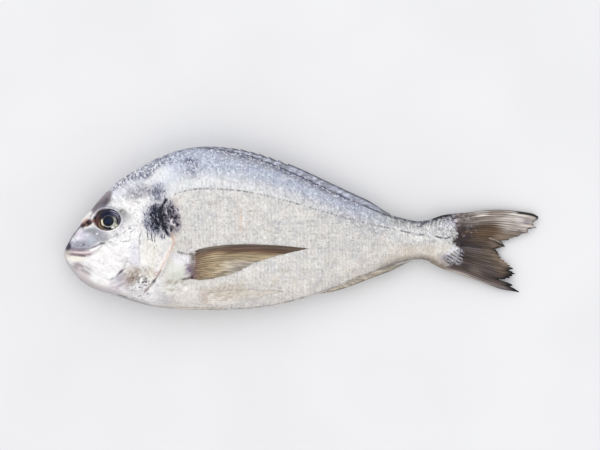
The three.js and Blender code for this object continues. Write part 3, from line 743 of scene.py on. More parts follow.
def blotch_core(x, y):
    """The black heart of the blotch, which runs down to a point at the gill cover's edge."""
    line = [
        (67.9, 33.4), (66.3, 30.9), (64, 26.3), (65.1, 20.6), (66.7, 16.2), (68.2, 11.9), (70.1, 9.7),
    ]
    return stroke(x, y, line, 1.05 + 1.4 * span(y, 14, 28.5, 3.5))


def blotch_mask(x, y):
    """The black blotch on the upper corner of the gill cover, with a paler patch over it."""
    streaky = noise(x, y, 1.1, 21, 112, 3.2) + 0.5 * noise(x, y, 0.6, 22, 100, 2)
    blotch = strongest(x, y, [
        (0.42, (61.8, 37.8), (6, 6.8), -25, 0.5),
        (0.86, (62.2, 21), (8.4, 10.4), 8),
        (0.7, (72, 22), (5.2, 11), 8, 0.5),
        (0.6, [(64.5, 40), (66.8, 36.5), (67.9, 33.4)], 1.2),
    ])
    blotch = blotch + 0.24 * streaky * (blotch > 0.05)
    darks = [
        ((74.4, 21.4), (2.2, 1.8)), ((59.4, 28), (3, 1.6)), ((71.6, 14), (1.3, 1.6)),
        ((70, 25), (1.2, 3)), ((75.4, 17.2), (1.1, 1.8)),
    ]
    hairs = [
        [(54.8, 17.5), (55.6, 8)], [(57.8, 14), (58.6, 6.2)], [(60.8, 12.6), (60.2, 5.6)],
        [(64.2, 12.6), (65.6, 7.4)], [(53.4, 20.5), (53.8, 14.5)], [(67.2, 11.4), (67, 7.8)],
    ]
    blotch = strongest(x, y, [
        (blotch,),
        ((1.2 + 0.25 * streaky) * blotch_core(x, y),),
        *((0.95, middle, radii, 0, 0.5) for middle, radii in darks),
        *((0.8, hair, 0.5) for hair in hairs),
    ])
    blotch = np.maximum(blotch * (1 - 0.97 * torn_ring(x, y)), 0.9 * spot(x, y, TORN, (1.1, 1.1), 0, 0.4))
    return blotch * (1 - 0.9 * stroke(x, y, [(56, 30), (61, 32.2), (65.0, 31.4)], 0.8))


def bruise_tint(tint, x, y):
    """The skin under the blotch: violet-grey in front, brownish behind, with pale glints."""
    soft = 0.75 + 0.4 * noise(x, y, 1.5, 90, 112, 2.5)
    core = np.clip(1.3 * blotch_core(x, y), 0, 1)
    glint = smooth(noise(x, y, 0.8, 91, 105, 2), 0.35, 0.7) * (1 - core)
    where = np.maximum(spot(x, y, (66, 22), (11, 12), 0, 0.4), spot(x, y, (63, 38), (6, 7), 0, 0.4))
    return lay(tint, x, y, [
        (soft, "6d7186", (61.8, 21), (8.2, 9.6), 8),
        (0.9 * soft, "a8aab8", (63, 38), (5.4, 6.6), -12),
        (soft, "8f7b7c", (72.4, 21.4), (4.8, 9.6), 8),
        (0.8 * glint * where, "f1e9ec"),
        (0.75 * core, "3a3a50"),
        (torn_ring(x, y), "f8f2f2"),
    ])


def skin_colours(x, y):
    """The tint of the skin at places seen from the side, and three masks: dark speckles, the black
    blotch on the gill cover's corner, and how silvery the skin is."""
    line, back = through(LATERAL_LINE, x), station(BACK, x)
    upper = np.clip((y - line) / np.maximum(back - line, 1), -1, 1)
    tint = head_tint(trunk_tint(x, y), x, y)
    for part in (face_tint, mouth_tint, eye_rim_tint, cheek_tint, bruise_tint, fin_foot_tint, root_of_tail):
        tint = part(tint, x, y)
    on_fin = past_root(x, y)
    tint = cover(tint, on_fin, "33282c")
    tint = cover(tint, on_fin * smooth(y, 12, 17), "75696a")
    blotch = blotch_mask(x, y)
    marks = fall((back - y) / through(NAPE_MARKS, x), 0.65, 1.15)
    speckle = strongest(x, y, [
        (0.9 * marks * smooth(x, 28, 33) * (1 - 0.5 * smooth(x, 68, 84)),),
        (0.42 * smooth(x, 66, 84) * (1 - 0.75 * smooth(x, 200, 228)) * smooth(upper, 0.25, 0.7),),
        (0.8 * span(x, 92, 200, 8) * fall(back - y, 2.5, 5),),
        (0.58, (49, 39), (8.5, 4.4), 15, 0.5),
        (1, (83.4, 60), (3.4, 2.6), 0),
        (0.72, (84.5, 56), (9.5, 7.5), 0, 0.7),
        (0.05 * smooth(x, 30, 50),),
    ]) * (1 - on_fin)
    pad = spot(x, y, (PAD_X, PAD_Y), (PAD_LONG + 1, PAD_HIGH + 1), 0, 0.3)
    silver = smooth(x, 30, 60) * (0.6 + 0.4 * smooth(x, 70, 77))
    silver = silver * (1 - 0.9 * np.maximum(pad, on_fin_foot(x, y)))
    silver = silver * (1 - 0.8 * np.clip(np.maximum(blotch, on_fin), 0, 1))
    return tint, np.stack([speckle * (1 - pad), np.clip(blotch, 0, 1.4), silver], -1)


def paint_skin(piece, x, y, back, own):
    """The attributes that the skin's pigment reads. back runs along each scale, own is its tone."""
    tint, masks = skin_colours(x, y)
    place = np.stack([line_offset(x, y), back, own], -1)
    for name, values in (("tint", tint), ("masks", masks), ("place", place)):
        paint(piece, name, values)


def feed(tree, node, inputs):
    """Each input of the node gets its link or its plain value."""
    for key, value in inputs.items():
        if isinstance(value, bpy.types.NodeSocket):
            tree.links.new(value, node.inputs[key])
        else:
            node.inputs[key].default_value = value


def add_node(tree, kind, inputs=None, **settings):
    """A shader node with its settings and its plain or linked inputs."""
    node = tree.nodes.new("ShaderNode" + kind)
    for key, value in settings.items():
        setattr(node, key, value)
    feed(tree, node, inputs or {})
    return node


def math_node(tree, operation, a, b=0.5):
    return add_node(tree, "Math", {0: a, 1: b}, operation=operation).outputs[0]


def blend_node(tree, factor, a, b, kind="MIX"):
    """Two colours mixed, or combined another way."""
    settings = {"data_type": "RGBA", "blend_type": kind, "clamp_factor": True}
    return add_node(tree, "Mix", {0: factor, 6: a, 7: b}, **settings).outputs[2]


def range_node(tree, value, low, high, to_low=0.0, to_high=1.0):
    inputs = {"Value": value, "From Min": low, "From Max": high, "To Min": to_low, "To Max": to_high}
    return add_node(tree, "MapRange", inputs, interpolation_type="SMOOTHSTEP").outputs[0]


def places_node(tree, scale, turn=0.0):
    """Object coordinates with scale cells to the metre along axes turned about the vertical."""
    coordinates = add_node(tree, "TexCoord").outputs["Object"]
    size = tuple(1 / s for s in scale)
    inputs = {"Vector": coordinates, "Rotation": (0, 0, math.radians(turn)), "Scale": size}
    return add_node(tree, "Mapping", inputs, vector_type="TEXTURE").outputs[0]


def noise_node(tree, cells, turn=0.0, detail=2.0, scale=1.0, roughness=0.5):
    where = places_node(tree, cells, turn)
    inputs = {"Vector": where, "Scale": scale, "Detail": detail, "Roughness": roughness}
    return add_node(tree, "TexNoise", inputs).outputs["Fac"]


def toned_node(tree, colour, tone):
    """A colour made lighter or darker by a tone."""
    grey = add_node(tree, "CombineColor", {0: tone, 1: tone, 2: tone}).outputs[0]
    return blend_node(tree, 1.0, colour, grey, "MULTIPLY")


def rgb(code):
    return (*srgb(code), 1.0)


def skin_pigment_group():
    """The pigment in the skin and its scales: dark speckles, the lateral line, the blotch on the gill
    cover, and a silver shimmer."""
    group = bpy.data.node_groups.new("skin_pigment", "ShaderNodeTree")
    for name in ("Tint", "Masks", "Place"):
        group.interface.new_socket(name, in_out="INPUT", socket_type="NodeSocketColor")
    for name, kind in (("Color", "Color"), ("Roughness", "Float"), ("Height", "Float"), ("Dark", "Float")):
        group.interface.new_socket(name, in_out="OUTPUT", socket_type="NodeSocket" + kind)
    given = group.nodes.new("NodeGroupInput").outputs
    marks, inked, silver = add_node(group, "SeparateColor", {"Color": given["Masks"]}).outputs
    offset, back, own = add_node(group, "SeparateColor", {"Color": given["Place"]}).outputs

    def fade(value, *limits):
        return range_node(group, value, *limits)

    def times(first, *others):
        for other in others:
            first = math_node(group, "MULTIPLY", first, other)
        return first

    def plus(a, b):
        return math_node(group, "ADD", a, b)

    def dye(colour, factor, code):
        return blend_node(group, factor, colour, rgb(code))

    # dark speckles and light grains between them
    size = places_node(group, (950, 640, 900), 28)
    cells = add_node(group, "TexVoronoi", {"Vector": size, "Scale": 1.0}, feature="F1")
    grain = add_node(group, "SeparateColor", {"Color": cells.outputs["Color"]}).outputs[0]
    fine = noise_node(group, (950, 640, 900), 28, 3.0, 1.3)
    patchy = fade(noise_node(group, (60, 60, 60), 0.0, 2.0, 5.0), 0.35, 0.62, 0.65, 1.0)
    grain = times(grain, fine)
    own_dark = times(fade(plus(own, times(fine, 1.2)), 0.75, 1.15), fade(back, 0.95, 0.8))
    own_dark = times(own_dark, fade(back, 0.3, 0.55))
    dark = times(math_node(group, "MAXIMUM", fade(grain, 0.18, 0.42), own_dark), times(marks, patchy))
    colour = dye(given["Tint"], dark, "40456e")
    colour = dye(colour, times(fade(grain, 0.14, 0.03), marks, 0.9), "f4f5fa")
    # the blotch, ragged at its edge, with gleams in it
    streaks = noise_node(group, (1000, 330, 700), 14, 4.0, 1.0, 0.65)
    ragged = times(math_node(group, "SUBTRACT", plus(streaks, times(fine, 0.5)), 0.75), 2.2)
    ragged = plus(inked, ragged)
    blotch = times(fade(ragged, 0.1, 0.85), fade(inked, 0.02, 0.3))
    stained = blend_node(group, 1.0, given["Tint"], rgb("a0a3be"), "MULTIPLY")
    colour = blend_node(group, blotch, colour, dye(stained, fade(ragged, 0.3, 1.1), "0a0919"))
    gleams = fade(noise_node(group, (1250, 560, 900), 22, 3.0), 0.54, 0.64)
    gleams = times(gleams, fade(inked, 0.3, 0.6), fade(inked, 0.8, 1.05, 0.5, 0.08))
    colour = dye(colour, gleams, "c3c6d6")
    # the lateral line
    dashes = fade(noise_node(group, (1150, 90, 90)), 0.44, 0.58, 0.06, 1.0)
    off_line = math_node(group, "ABSOLUTE", math_node(group, "SUBTRACT", offset, 0.5), 0)
    colour = dye(colour, times(fade(off_line, 0.1, 0.03), dashes, 0.75), "625c60")
    # painted shade in small pits, painted glints and the painted shimmer of silver
    flecks = noise_node(group, (1500, 1000, 1400), 28)
    colour = dye(colour, times(fade(flecks, 0.45, 0.28), silver, 0.18), "8f8f9c")
    colour = dye(colour, times(fade(flecks, 0.54, 0.72), silver, 0.4, fade(blotch, 0.3, 0.0)), "ffffff")
    shimmer = noise_node(group, (900, 380, 600), 4)
    rows = noise_node(group, (300, 1100, 500), -8)
    tone = times(fade(shimmer, 0.3, 0.7, 0.86, 1.06), fade(rows, 0.3, 0.7, 0.92, 1.03))
    tone = times(tone, fade(back, 0.72, 1.0, 1.0, 0.86), fade(own, 0.0, 1.0, 0.94, 1.04))
    colour = blend_node(group, silver, colour, toned_node(group, colour, tone))
    light = add_node(group, "RGBToBW", {"Color": colour}).outputs[0]
    feed(group, group.nodes.new("NodeGroupOutput"), {
        "Color": colour,
        "Roughness": fade(shimmer, 0.25, 0.75, 0.26, 0.46),
        "Height": plus(times(fine, 0.6), shimmer),
        "Dark": fade(light, 0.22, 0.03),
    })
    return group


def new_material(name):
    material = bpy.data.materials.new(name)
    material.use_nodes = True
    return material, material.node_tree, material.node_tree.nodes["Principled BSDF"]


def attribute_node(tree, name):
    return add_node(tree, "Attribute", attribute_name=name).outputs


def bump_node(tree, height, strength, distance):
    inputs = {"Height": height, "Strength": strength, "Distance": distance}
    return add_node(tree, "Bump", inputs).outputs[0]


def skin_material(name, pigment, metallic, coat):
    material, tree, surface = new_material(name)
    group = add_node(tree, "Group", node_tree=pigment)
    for attribute in ("Tint", "Masks", "Place"):
        tree.links.new(attribute_node(tree, attribute.lower())["Color"], group.inputs[attribute])
    feed(tree, surface, {
        "Base Color": group.outputs["Color"],
        "Roughness": group.outputs["Roughness"],
        "Normal": bump_node(tree, group.outputs["Height"], 0.35, 0.0003),
        "Coat Weight": range_node(tree, group.outputs["Dark"], 0.0, 1.0, coat, 0.1 * coat),
        "Metallic": metallic,
        "Specular IOR Level": 0.2,
        "Coat Roughness": 0.2,
    })
    return material


def finish_piece(piece, material, slot="skin", *nodes):
    """The finished piece gets its material and its place in the frame."""
    piece.data.materials.clear()
    piece.data.materials.append(material)
    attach(piece, "root")
    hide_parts(*nodes)


def ring_starts():
    """Where the rings of the body start, closer together at the head, the gill opening and the tail."""
    head = np.concatenate([[-0.8, -0.6, -0.3], np.arange(0.1, GILL_X - 0.2, HEAD_STEP)])
    gill = np.array([71.8, 72.0, 72.2, 72.5, 72.9, 73.4, 74.0, 74.8, 75.8, 77, 78.5])
    trunk = np.arange(80, 246, TRUNK_STEP)
    root = np.append(np.arange(246, 264.6, TAIL_ROOT_STEP), 265)
    return np.concatenate([head, gill, trunk, root])


starts = ring_starts()
body = grid_piece("body", AROUND, len(starts) - 1)
column, row = grid_places(body, AROUND, len(starts) - 1)
fine_angles = np.linspace(0, 360, 721)
angles = np.empty((len(starts), AROUND + 1))
for i, start in enumerate(starts):
    arc = arc_of(skin(np.full(len(fine_angles), start), fine_angles))
    angles[i] = np.interp(np.linspace(0, arc[-1], AROUND + 1), arc, fine_angles)
start, degrees = starts[row], angles[row, column % AROUND]
bare = skin(start, degrees)
share = np.sin(np.radians(degrees))
flat = smooth(np.abs(np.cos(np.radians(degrees))), 0.08, 0.35)  # relief fades out on the keels
x, y = bare[:, 0], bare[:, 1]
raised = trunk_relief(start, share) * flat
raised += head_relief(x, y) * flat
raised += flesh_waves(x, y) * smooth(start, 4, 20)
raised += spot(x, y, (PAD_X, PAD_Y), (PAD_LONG, PAD_HIGH), 0, 0.5) * flat
points = bare + facing(start, degrees) * raised[:, None]
points[:, 2] = np.maximum(points[:, 2], SKIN_LOWEST)
shape(body, points)
paint_skin(body, x, y, np.full(len(bare), 0.5), np.full(len(bare), 0.3))
close_shell()
pigment = skin_pigment_group()
finish_piece(body, skin_material("wet_skin", pigment, 0.08, 0.45), "skin", "fish")

# ---- Eyes ----
# An eyeball is a flattened ball under a clear wet dome: a blue-black pupil in a narrow cream ring,
# and a dark iris that turns gold and red towards its lower front corner.

EYE_DEPTH, EYE_PROUD = 4.8, 2.2
IRIS_X, IRIS_Y, IRIS_LONG = 1.6, -1.5, 1.12  # the iris's middle from the eyeball's, and its stretch
PUPIL = 3.55


def flank_height(x, y, flank):
    """The height of one flank at a place seen from the side."""
    share = np.clip(share_of(x, y), -0.999, 0.999)
    return station(MIDDLE, x) + flank * station(HALF, x) * (1 - share**2) ** (keel(share) / 2)


def eye_place(flank):
    """The eye's middle on the flank, and the turn from straight up or down to the way it looks."""
    reach = 5
    rise_x = flank_height(EYE_X + reach, EYE_Y, flank) - flank_height(EYE_X - reach, EYE_Y, flank)
    rise_y = flank_height(EYE_X, EYE_Y + reach, flank) - flank_height(EYE_X, EYE_Y - reach, flank)
    out = Vector((-rise_x / (2 * reach), -rise_y / (2 * reach), 1)).normalized() * flank
    turn = Vector((0, 0, flank)).rotation_difference(out)
    return Vector((EYE_X, EYE_Y, float(flank_height(EYE_X, EYE_Y, flank)))), turn, out


def seat_at_eye(local, flank, sunk):
    """Points about the line of sight, (x back, y up, z out), are set into the flank."""
    place, turn, out = eye_place(flank)
    flipped = local * np.array([1, 1, flank])
    turned = flipped @ np.array(turn.to_matrix()).T
    return turned + np.array(place + out * sunk)


def eye_colours(x, y):
    """The tints of an eyeball about the middle of its iris, with painted reflections and glints towards its
    back.
    """
    radius, around = np.hypot(x, y), np.degrees(np.arctan2(y, x))

    def towards(direction, width):
        return fall(np.abs((around - direction + 180) % 360 - 180), 0.5 * width, 1.4 * width)

    fibres = noise(around / 6, radius, 1.0, 25)
    rough = 0.7 + 0.4 * fibres
    return lay(one_colour(x, "17141b"), x, y, [
        (0.9 * towards(205, 55) * span(radius, 5, 9.5, 0.5), "3f2f27"),
        (rough * towards(212, 34) * span(radius, 6, 6.5, 0.2), "bea37a"),
        (rough * towards(226, 34) * span(radius, 7, 7.4, 0.2), "ab9877"),
        (0.9 * towards(178, 30) * smooth(radius, 6.8, 8.2), "55211f"),
        (0.95 * towards(100, 46) * span(radius, 3.6, 7.6, 0.6), "0d1030"),
        (rough * towards(5, 46) * span(radius, 5.8, 7.4, 0.3), "5f5a68"),
        (0.75 * towards(275, 40) * span(radius, 5.4, 6.8, 0.3), "6f6775"),
        # painted reflections of light on the upper back of the eye
        (rough * towards(52, 26) * bell(radius, 5.1, 0.24), "777c92"),
        (rough * towards(46, 26) * bell(radius, 6.1, 0.24), "9aa0b6"),
        (rough * towards(62, 26) * bell(radius, 7.2, 0.24), "c2c4da"),
        # a painted glint on its lower back
        ((0.7 + 0.6 * fibres) * towards(316, 22) * span(radius, 4.4, 6.8, 0.4), "c9cdb9"),
        (0.55 * span(radius, PUPIL, 3.85, 0.15), "8e98a2"),
        (0.85 * towards(262, 60) * span(radius, PUPIL, 3.95, 0.15), "cfd0c6"),
        (towards(192, 30) * span(radius, PUPIL, 4.7, 0.25), "f1e4c8"),
        ((0.8 + 0.4 * fibres) * towards(350, 46) * span(radius, PUPIL, 4.8, 0.25), "d3d5c9"),
        (0.85 * towards(350, 46) * bell(radius, 4.4, 0.2), "4a4d50"),
        # a painted glint of white light
        (0.9, "ffffff", (2.4, -4), (0.9, 0.45), 20, 0.5),
        (fall(radius, PUPIL - 0.2, PUPIL + 0.1), "07080f"),
        (fall(radius, 0.6, 3.4), "0f1e3c"),
    ])


def eye_material():
    material, tree, surface = new_material("wet_eye")
    fibres = noise_node(tree, (1, 1, 1), 0.0, 3.0, 1500.0)
    tone = range_node(tree, fibres, 0.3, 0.7, 0.75, 1.15)
    feed(tree, surface, {
        "Base Color": toned_node(tree, attribute_node(tree, "tint")["Color"], tone),
        "Roughness": 0.25,
        "Specular IOR Level": 0.1,
        "Coat Weight": 0.18,
        "Coat Roughness": 0.03,
    })
    return material


wet_eye = eye_material()
for side, flank in (("left", 1), ("right", -1)):
    bpy.ops.object.select_all(action="DESELECT")
    bpy.ops.mesh.primitive_uv_sphere_add(segments=96, ring_count=64, radius=1)
    eye = add_mesh_piece("eyeball_" + side)
    ball = vertex_places(eye)
    local = ball * [EYE_LONG + 0.6, EYE_HIGH + 0.6, EYE_DEPTH]
    iris_x, iris_y = (local[:, 0] - IRIS_X) / IRIS_LONG, local[:, 1] - IRIS_Y
    bulge = fall(np.hypot(iris_x, iris_y), PUPIL - 0.9, PUPIL)
    local[:, 2] += 0.25 * smooth(ball[:, 2], 0, 0.3) * bulge
    shape(eye, seat_at_eye(local, flank, EYE_PROUD - EYE_DEPTH))
    paint(eye, "tint", eye_colours(iris_x, iris_y))
    if flank < 0:
        bpy.ops.object.mode_set(mode="EDIT")
        bpy.ops.mesh.select_all(action="SELECT")
        bpy.ops.mesh.normals_make_consistent(inside=False)
        bpy.ops.object.mode_set(mode="OBJECT")
    bpy.ops.object.shade_smooth()
    finish_piece(eye, wet_eye, "eye", "eye_" + side)

# ---- Scales ----
# Thin overlapping plates of horn with a silver back, set in rows along the trunk and the nape. Each
# hides the front of the one behind it, and its rear edge stands a little proud.

SCALE_LONG, SCALE_THICK = 4.3, 0.26
SCALE_ROWS, SCALE_COLUMNS = 4, 6
NAPE_FRONT, LAST_SCALES = 34, 266
FULL_PITCH, FULL_ROW = 2.4, 3.6  # from scale to scale along the trunk, and from row to row
KEEL_MARGIN = 0.8  # no scale's middle lies nearer to the edge of a flank
SCALY_END = [(-12, 250), (-7.5, 254), (-3, 257), (2.6, 259.5), (6, 262), (20, 261.5)]


def scale_pitch(start):
    """The distance from scale to scale along the fish, and from row to row up the flank."""
    along = mix(1.7, FULL_PITCH, smooth(start, 34, 66)) - 0.95 * smooth(start, 170, 245)
    up = mix(2.4, FULL_ROW, smooth(start, 36, 84)) - 1.85 * smooth(start, 120, 240)
    return along, up


def model_scale():
    """One scale, 1 long and 2 wide, with its rear edge rounded: a closed plate with a flat back."""
    plate = grid_piece("scale", SCALE_COLUMNS, SCALE_ROWS)
    across, back = grid_places(plate, SCALE_COLUMNS, SCALE_ROWS)
    t = across / SCALE_COLUMNS * 2 - 1
    along = np.array([0.0, 0.4, 0.7, 0.9, 1.0])[back]
    width = np.array([0.7, 0.98, 1.0, 0.86, 0.62])[back]
    rear = along * (1 - 0.2 * t**2)
    height = along * (1 - 0.3 * t**2)
    plate.data.vertices.foreach_set("co", np.stack([rear, t * width, height], -1).ravel())
    bpy.ops.object.mode_set(mode="EDIT")
    bpy.ops.mesh.select_all(action="DESELECT")
    bpy.ops.mesh.select_non_manifold()
    bpy.ops.mesh.edge_face_add()
    bpy.ops.object.mode_set(mode="OBJECT")
    corners = vertex_places(plate)
    faces = [tuple(face.vertices) for face in plate.data.polygons]
    bpy.data.objects.remove(plate)
    return corners, faces


def scale_places(flank, plate):
    """For each scale of one flank, column by column: the start of its section, the two pitches and
    the angles of its middle and of its vertices."""
    places = []
    start, i = float(NAPE_FRONT), 0
    half_angles = np.linspace(-90, 90, 361)
    degrees = half_angles if flank > 0 else 180 - half_angles
    while start < LAST_SCALES:
        along, up = scale_pitch(start)
        points = skin(np.full(len(degrees), start), degrees)
        arc = arc_of(points)
        above = points[:, 1] - through(LATERAL_LINE, points[:, 0])
        line = np.interp(0, above, arc)
        at = line + (np.arange(-60, 60) + 0.5 * (i % 2)) * up
        at = at[(at > KEEL_MARGIN) & (at < arc[-1] - KEEL_MARGIN)]
        arcs = np.clip(at[:, None] + plate[:, 1] * up * 0.66, 0, arc[-1])
        middles, angles = np.interp(at, arc, degrees), np.interp(arcs, arc, degrees)
        same = np.ones(len(at))
        places.append((same * start, same * along, same * up, middles, angles))
        start, i = start + along, i + 1
    return [np.concatenate(column) for column in zip(*places)]


def bare_of_scales(start, x, y, share):
    """Where no scales grow: the face, the gill cover, its opening and the pad of the side fin."""
    gill = (start < 75.5) & (share < 0.55)
    pad = spot(x, y, (PAD_X + 1, PAD_Y), (PAD_LONG + 1.5, PAD_HIGH + 1), 0, 0.05) > 0.5
    face = x < 33 + 0.7 * np.maximum(44 - y, 0)
    return gill | pad | face | (x > through(SCALY_END, y)) | (on_fin_foot(x, y) > 0.4)


def add_scales(name, flank, seed):
    """All the scales of one flank, joined in one mesh, each with its own tone."""
    plate, faces = model_scale()
    start, along, up, middles, angles = scale_places(flank, plate)
    centre = skin(start, middles)
    kept = ~bare_of_scales(start, centre[:, 0], centre[:, 1], np.sin(np.radians(middles)))
    start, along, up, angles, centre = (v[kept] for v in (start, along, up, angles, centre))
    tone, lean, lift, shift = np.random.default_rng(seed).uniform(-1, 1, (4, len(start), 1))
    reach = (plate[:, 0] - 0.35) * SCALE_LONG * along[:, None] / FULL_PITCH
    starts = start[:, None] + reach + 0.12 * shift
    thin = 1 - 0.45 * smooth(start, 195, 245)[:, None]
    rise = plate[:, 2] * SCALE_THICK * thin * (1 + 0.15 * lift) + 0.02 + 0.07 * lean * plate[:, 1]
    rise = rise + trunk_relief(starts, np.sin(np.radians(angles)))
    rise = rise + flesh_waves(centre[:, 0], centre[:, 1])[:, None]
    points = skin(starts, angles) + facing(starts, angles) * rise[..., None]
    points = points.reshape(-1, 3)
    points[:, 2] = np.maximum(points[:, 2], SCALE_LOWEST)
    mesh = bpy.data.meshes.new(name)
    count = len(plate)
    polygons = [tuple(k * count + v for v in face) for k in range(len(start)) for face in faces]
    mesh.from_pydata((points * MM + SNOUT).tolist(), [], polygons)
    piece = bpy.data.objects.new(name, mesh)
    bpy.context.collection.objects.link(piece)
    own = np.broadcast_to(0.5 + 0.5 * tone, (len(start), count)).ravel()
    back = np.broadcast_to(plate[:, 0], (len(start), count)).ravel()
    paint_skin(piece, points[:, 0], points[:, 1], back, own)
    bpy.ops.object.select_all(action="DESELECT")
    piece.select_set(True)
    bpy.context.view_layer.objects.active = piece
    bpy.ops.object.shade_smooth_by_angle(angle=math.radians(50))
    return piece


silver_scale = skin_material("silver_scale", pigment, 0.15, 0.35)
for side, flank in (("left", 1), ("right", -1)):
    finish_piece(add_scales("scales_" + side, flank, 11 + flank), silver_scale, "skin", "fish")

# ---- Tail fin ----
# Two lobes of thin skin on a fan of bony rays that fork towards their tips. The skin has split
# between the rays along the rear edge, and the tips are frayed and black.

TAIL_TOP = [
    (244, 20.2), (248, 21.8), (253, 23.4), (260.7, 24.4), (270.7, 25.2), (279, 26.4),
    (288, 27), (296, 26.8), (306.8, 25.6), (313.8, 24.3), (317.4, 22.3),
]
TAIL_LOW = [
    (243, -7.6), (248, -10.2), (253, -12.7), (264.6, -16.4), (280, -22), (291.5, -26.2),
    (304.2, -28.6), (318, -33),
]
TAIL_EDGE = [  # the rear edge, from the upper tip to the lower one
    (317.2, 22.1), (316.6, 20.2), (313.6, 18.2), (314, 16.4), (316.2, 14.6), (309.8, 13.6),
    (311.2, 11.6), (305.4, 10.6), (304.6, 9.4), (299.6, 8), (296.4, 6.4), (291.9, 6.2), (295, 2.4),
    (288.1, 0.6), (290, -1.4), (291.9, -4.1), (293.3, -6.4), (296.2, -8.6), (300.4, -12.6),
    (298.9, -14.2), (302.4, -15.7), (299.6, -17.4), (298.1, -19), (291.6, -20.2),
    (300.9, -23), (299, -24.6), (304.2, -28),
]
TAIL_RAYS, TAIL_COLUMNS, TAIL_ROWS = 17, 272, 108
TAIL_TIPS = 34
TAIL_ROOT_HALF, TAIL_TIP_HALF, TAIL_TIP_LEVEL = 1.7, 0.3, 3.4


def fin_piece(name, columns, rows, middle_at, half_at, tint_at, crowded=1.0):
    """A closed fin between two faces that meet along its edges. middle_at and half_at give its middle
    surface and half its thickness at the share across it and the share out from its root, where the
    rows can be crowded together."""
    fin = grid_piece(name, 2 * columns, rows)
    column, row = grid_places(fin, 2 * columns, rows)
    under = column > columns
    across, out = np.where(under, 2 * columns - column, column) / columns, (row / rows) ** crowded
    middle = middle_at(across, out)
    rim = np.clip(np.minimum(np.minimum(across, 1 - across) * columns, rows - row) / 2, 0, 1)
    thick = half_at(across, out) * np.sqrt(1 - (1 - rim) ** 2) * np.where(under, -1, 1)
    points = middle.copy()
    points[:, 2] = np.maximum(points[:, 2] + thick, FIN_LOWEST + 0.02 * ~under * (rim > 0))
    shape(fin, points)
    paint(fin, "tint", tint_at(across, out, middle[:, 0], middle[:, 1]))
    close_shell()
    return fin


def forked(across, out, rays):
    """The swell of the rays, from -1 to 1: each one forks in two halfway out, and again further."""
    once, twice, thrice = (np.cos(2 * np.pi * rays * k * across) for k in (1, 2, 4))
    swell = mix(once, twice, smooth(out, 0.3, 0.5))
    return -mix(swell, thrice, smooth(out, 0.65, 0.85))


def tail_ends():
    """The rear edge as shares across the tail, and how far back each reaches."""
    edge = np.array(TAIL_EDGE)
    top, bottom = through(TAIL_TOP, edge[:, 0]), through(TAIL_LOW, edge[:, 0])
    return np.clip((top - edge[:, 1]) / (top - bottom), 0, 1), edge[:, 0]


tail_shares, tail_reach = tail_ends()


def frayed_back(across):
    """How far the skin between the tips of the rays has worn back, most of all on the lower lobe."""
    place = across * TAIL_TIPS + 0.35 * noise(across * 20, 0 * across, 1.0, 34)
    worn = np.random.default_rng(31).uniform(0.3, 1, TAIL_TIPS + 2)[np.floor(place).astype(int)]
    deep = 1.1 + 1.7 * smooth(across, 0.5, 0.6)
    return deep * worn * np.abs(2 * (place % 1) - 1) ** 1.4 * span(across, 0.06, 0.95, 0.03)


def tail_middle(across, out):
    end = np.interp(across, tail_shares, tail_reach) - frayed_back(across)
    x = mix(mix(246.0, 244.5, across), end, out)
    y = mix(through(TAIL_TOP, x), through(TAIL_LOW, x), across)
    z = mix(station(MIDDLE, np.minimum(x, 262)), TAIL_TIP_LEVEL, smooth(x, 244, 312))
    z = z + 0.9 * smooth(x, 256, 300) * np.sin(9 * across + 0.4)
    return np.stack([x, y, z], -1)


def tail_half(across, out):
    half = mix(TAIL_ROOT_HALF, TAIL_TIP_HALF, out**0.5)
    return half + 0.16 * smooth(out, 0.1, 0.3) * forked(across, out, TAIL_RAYS)


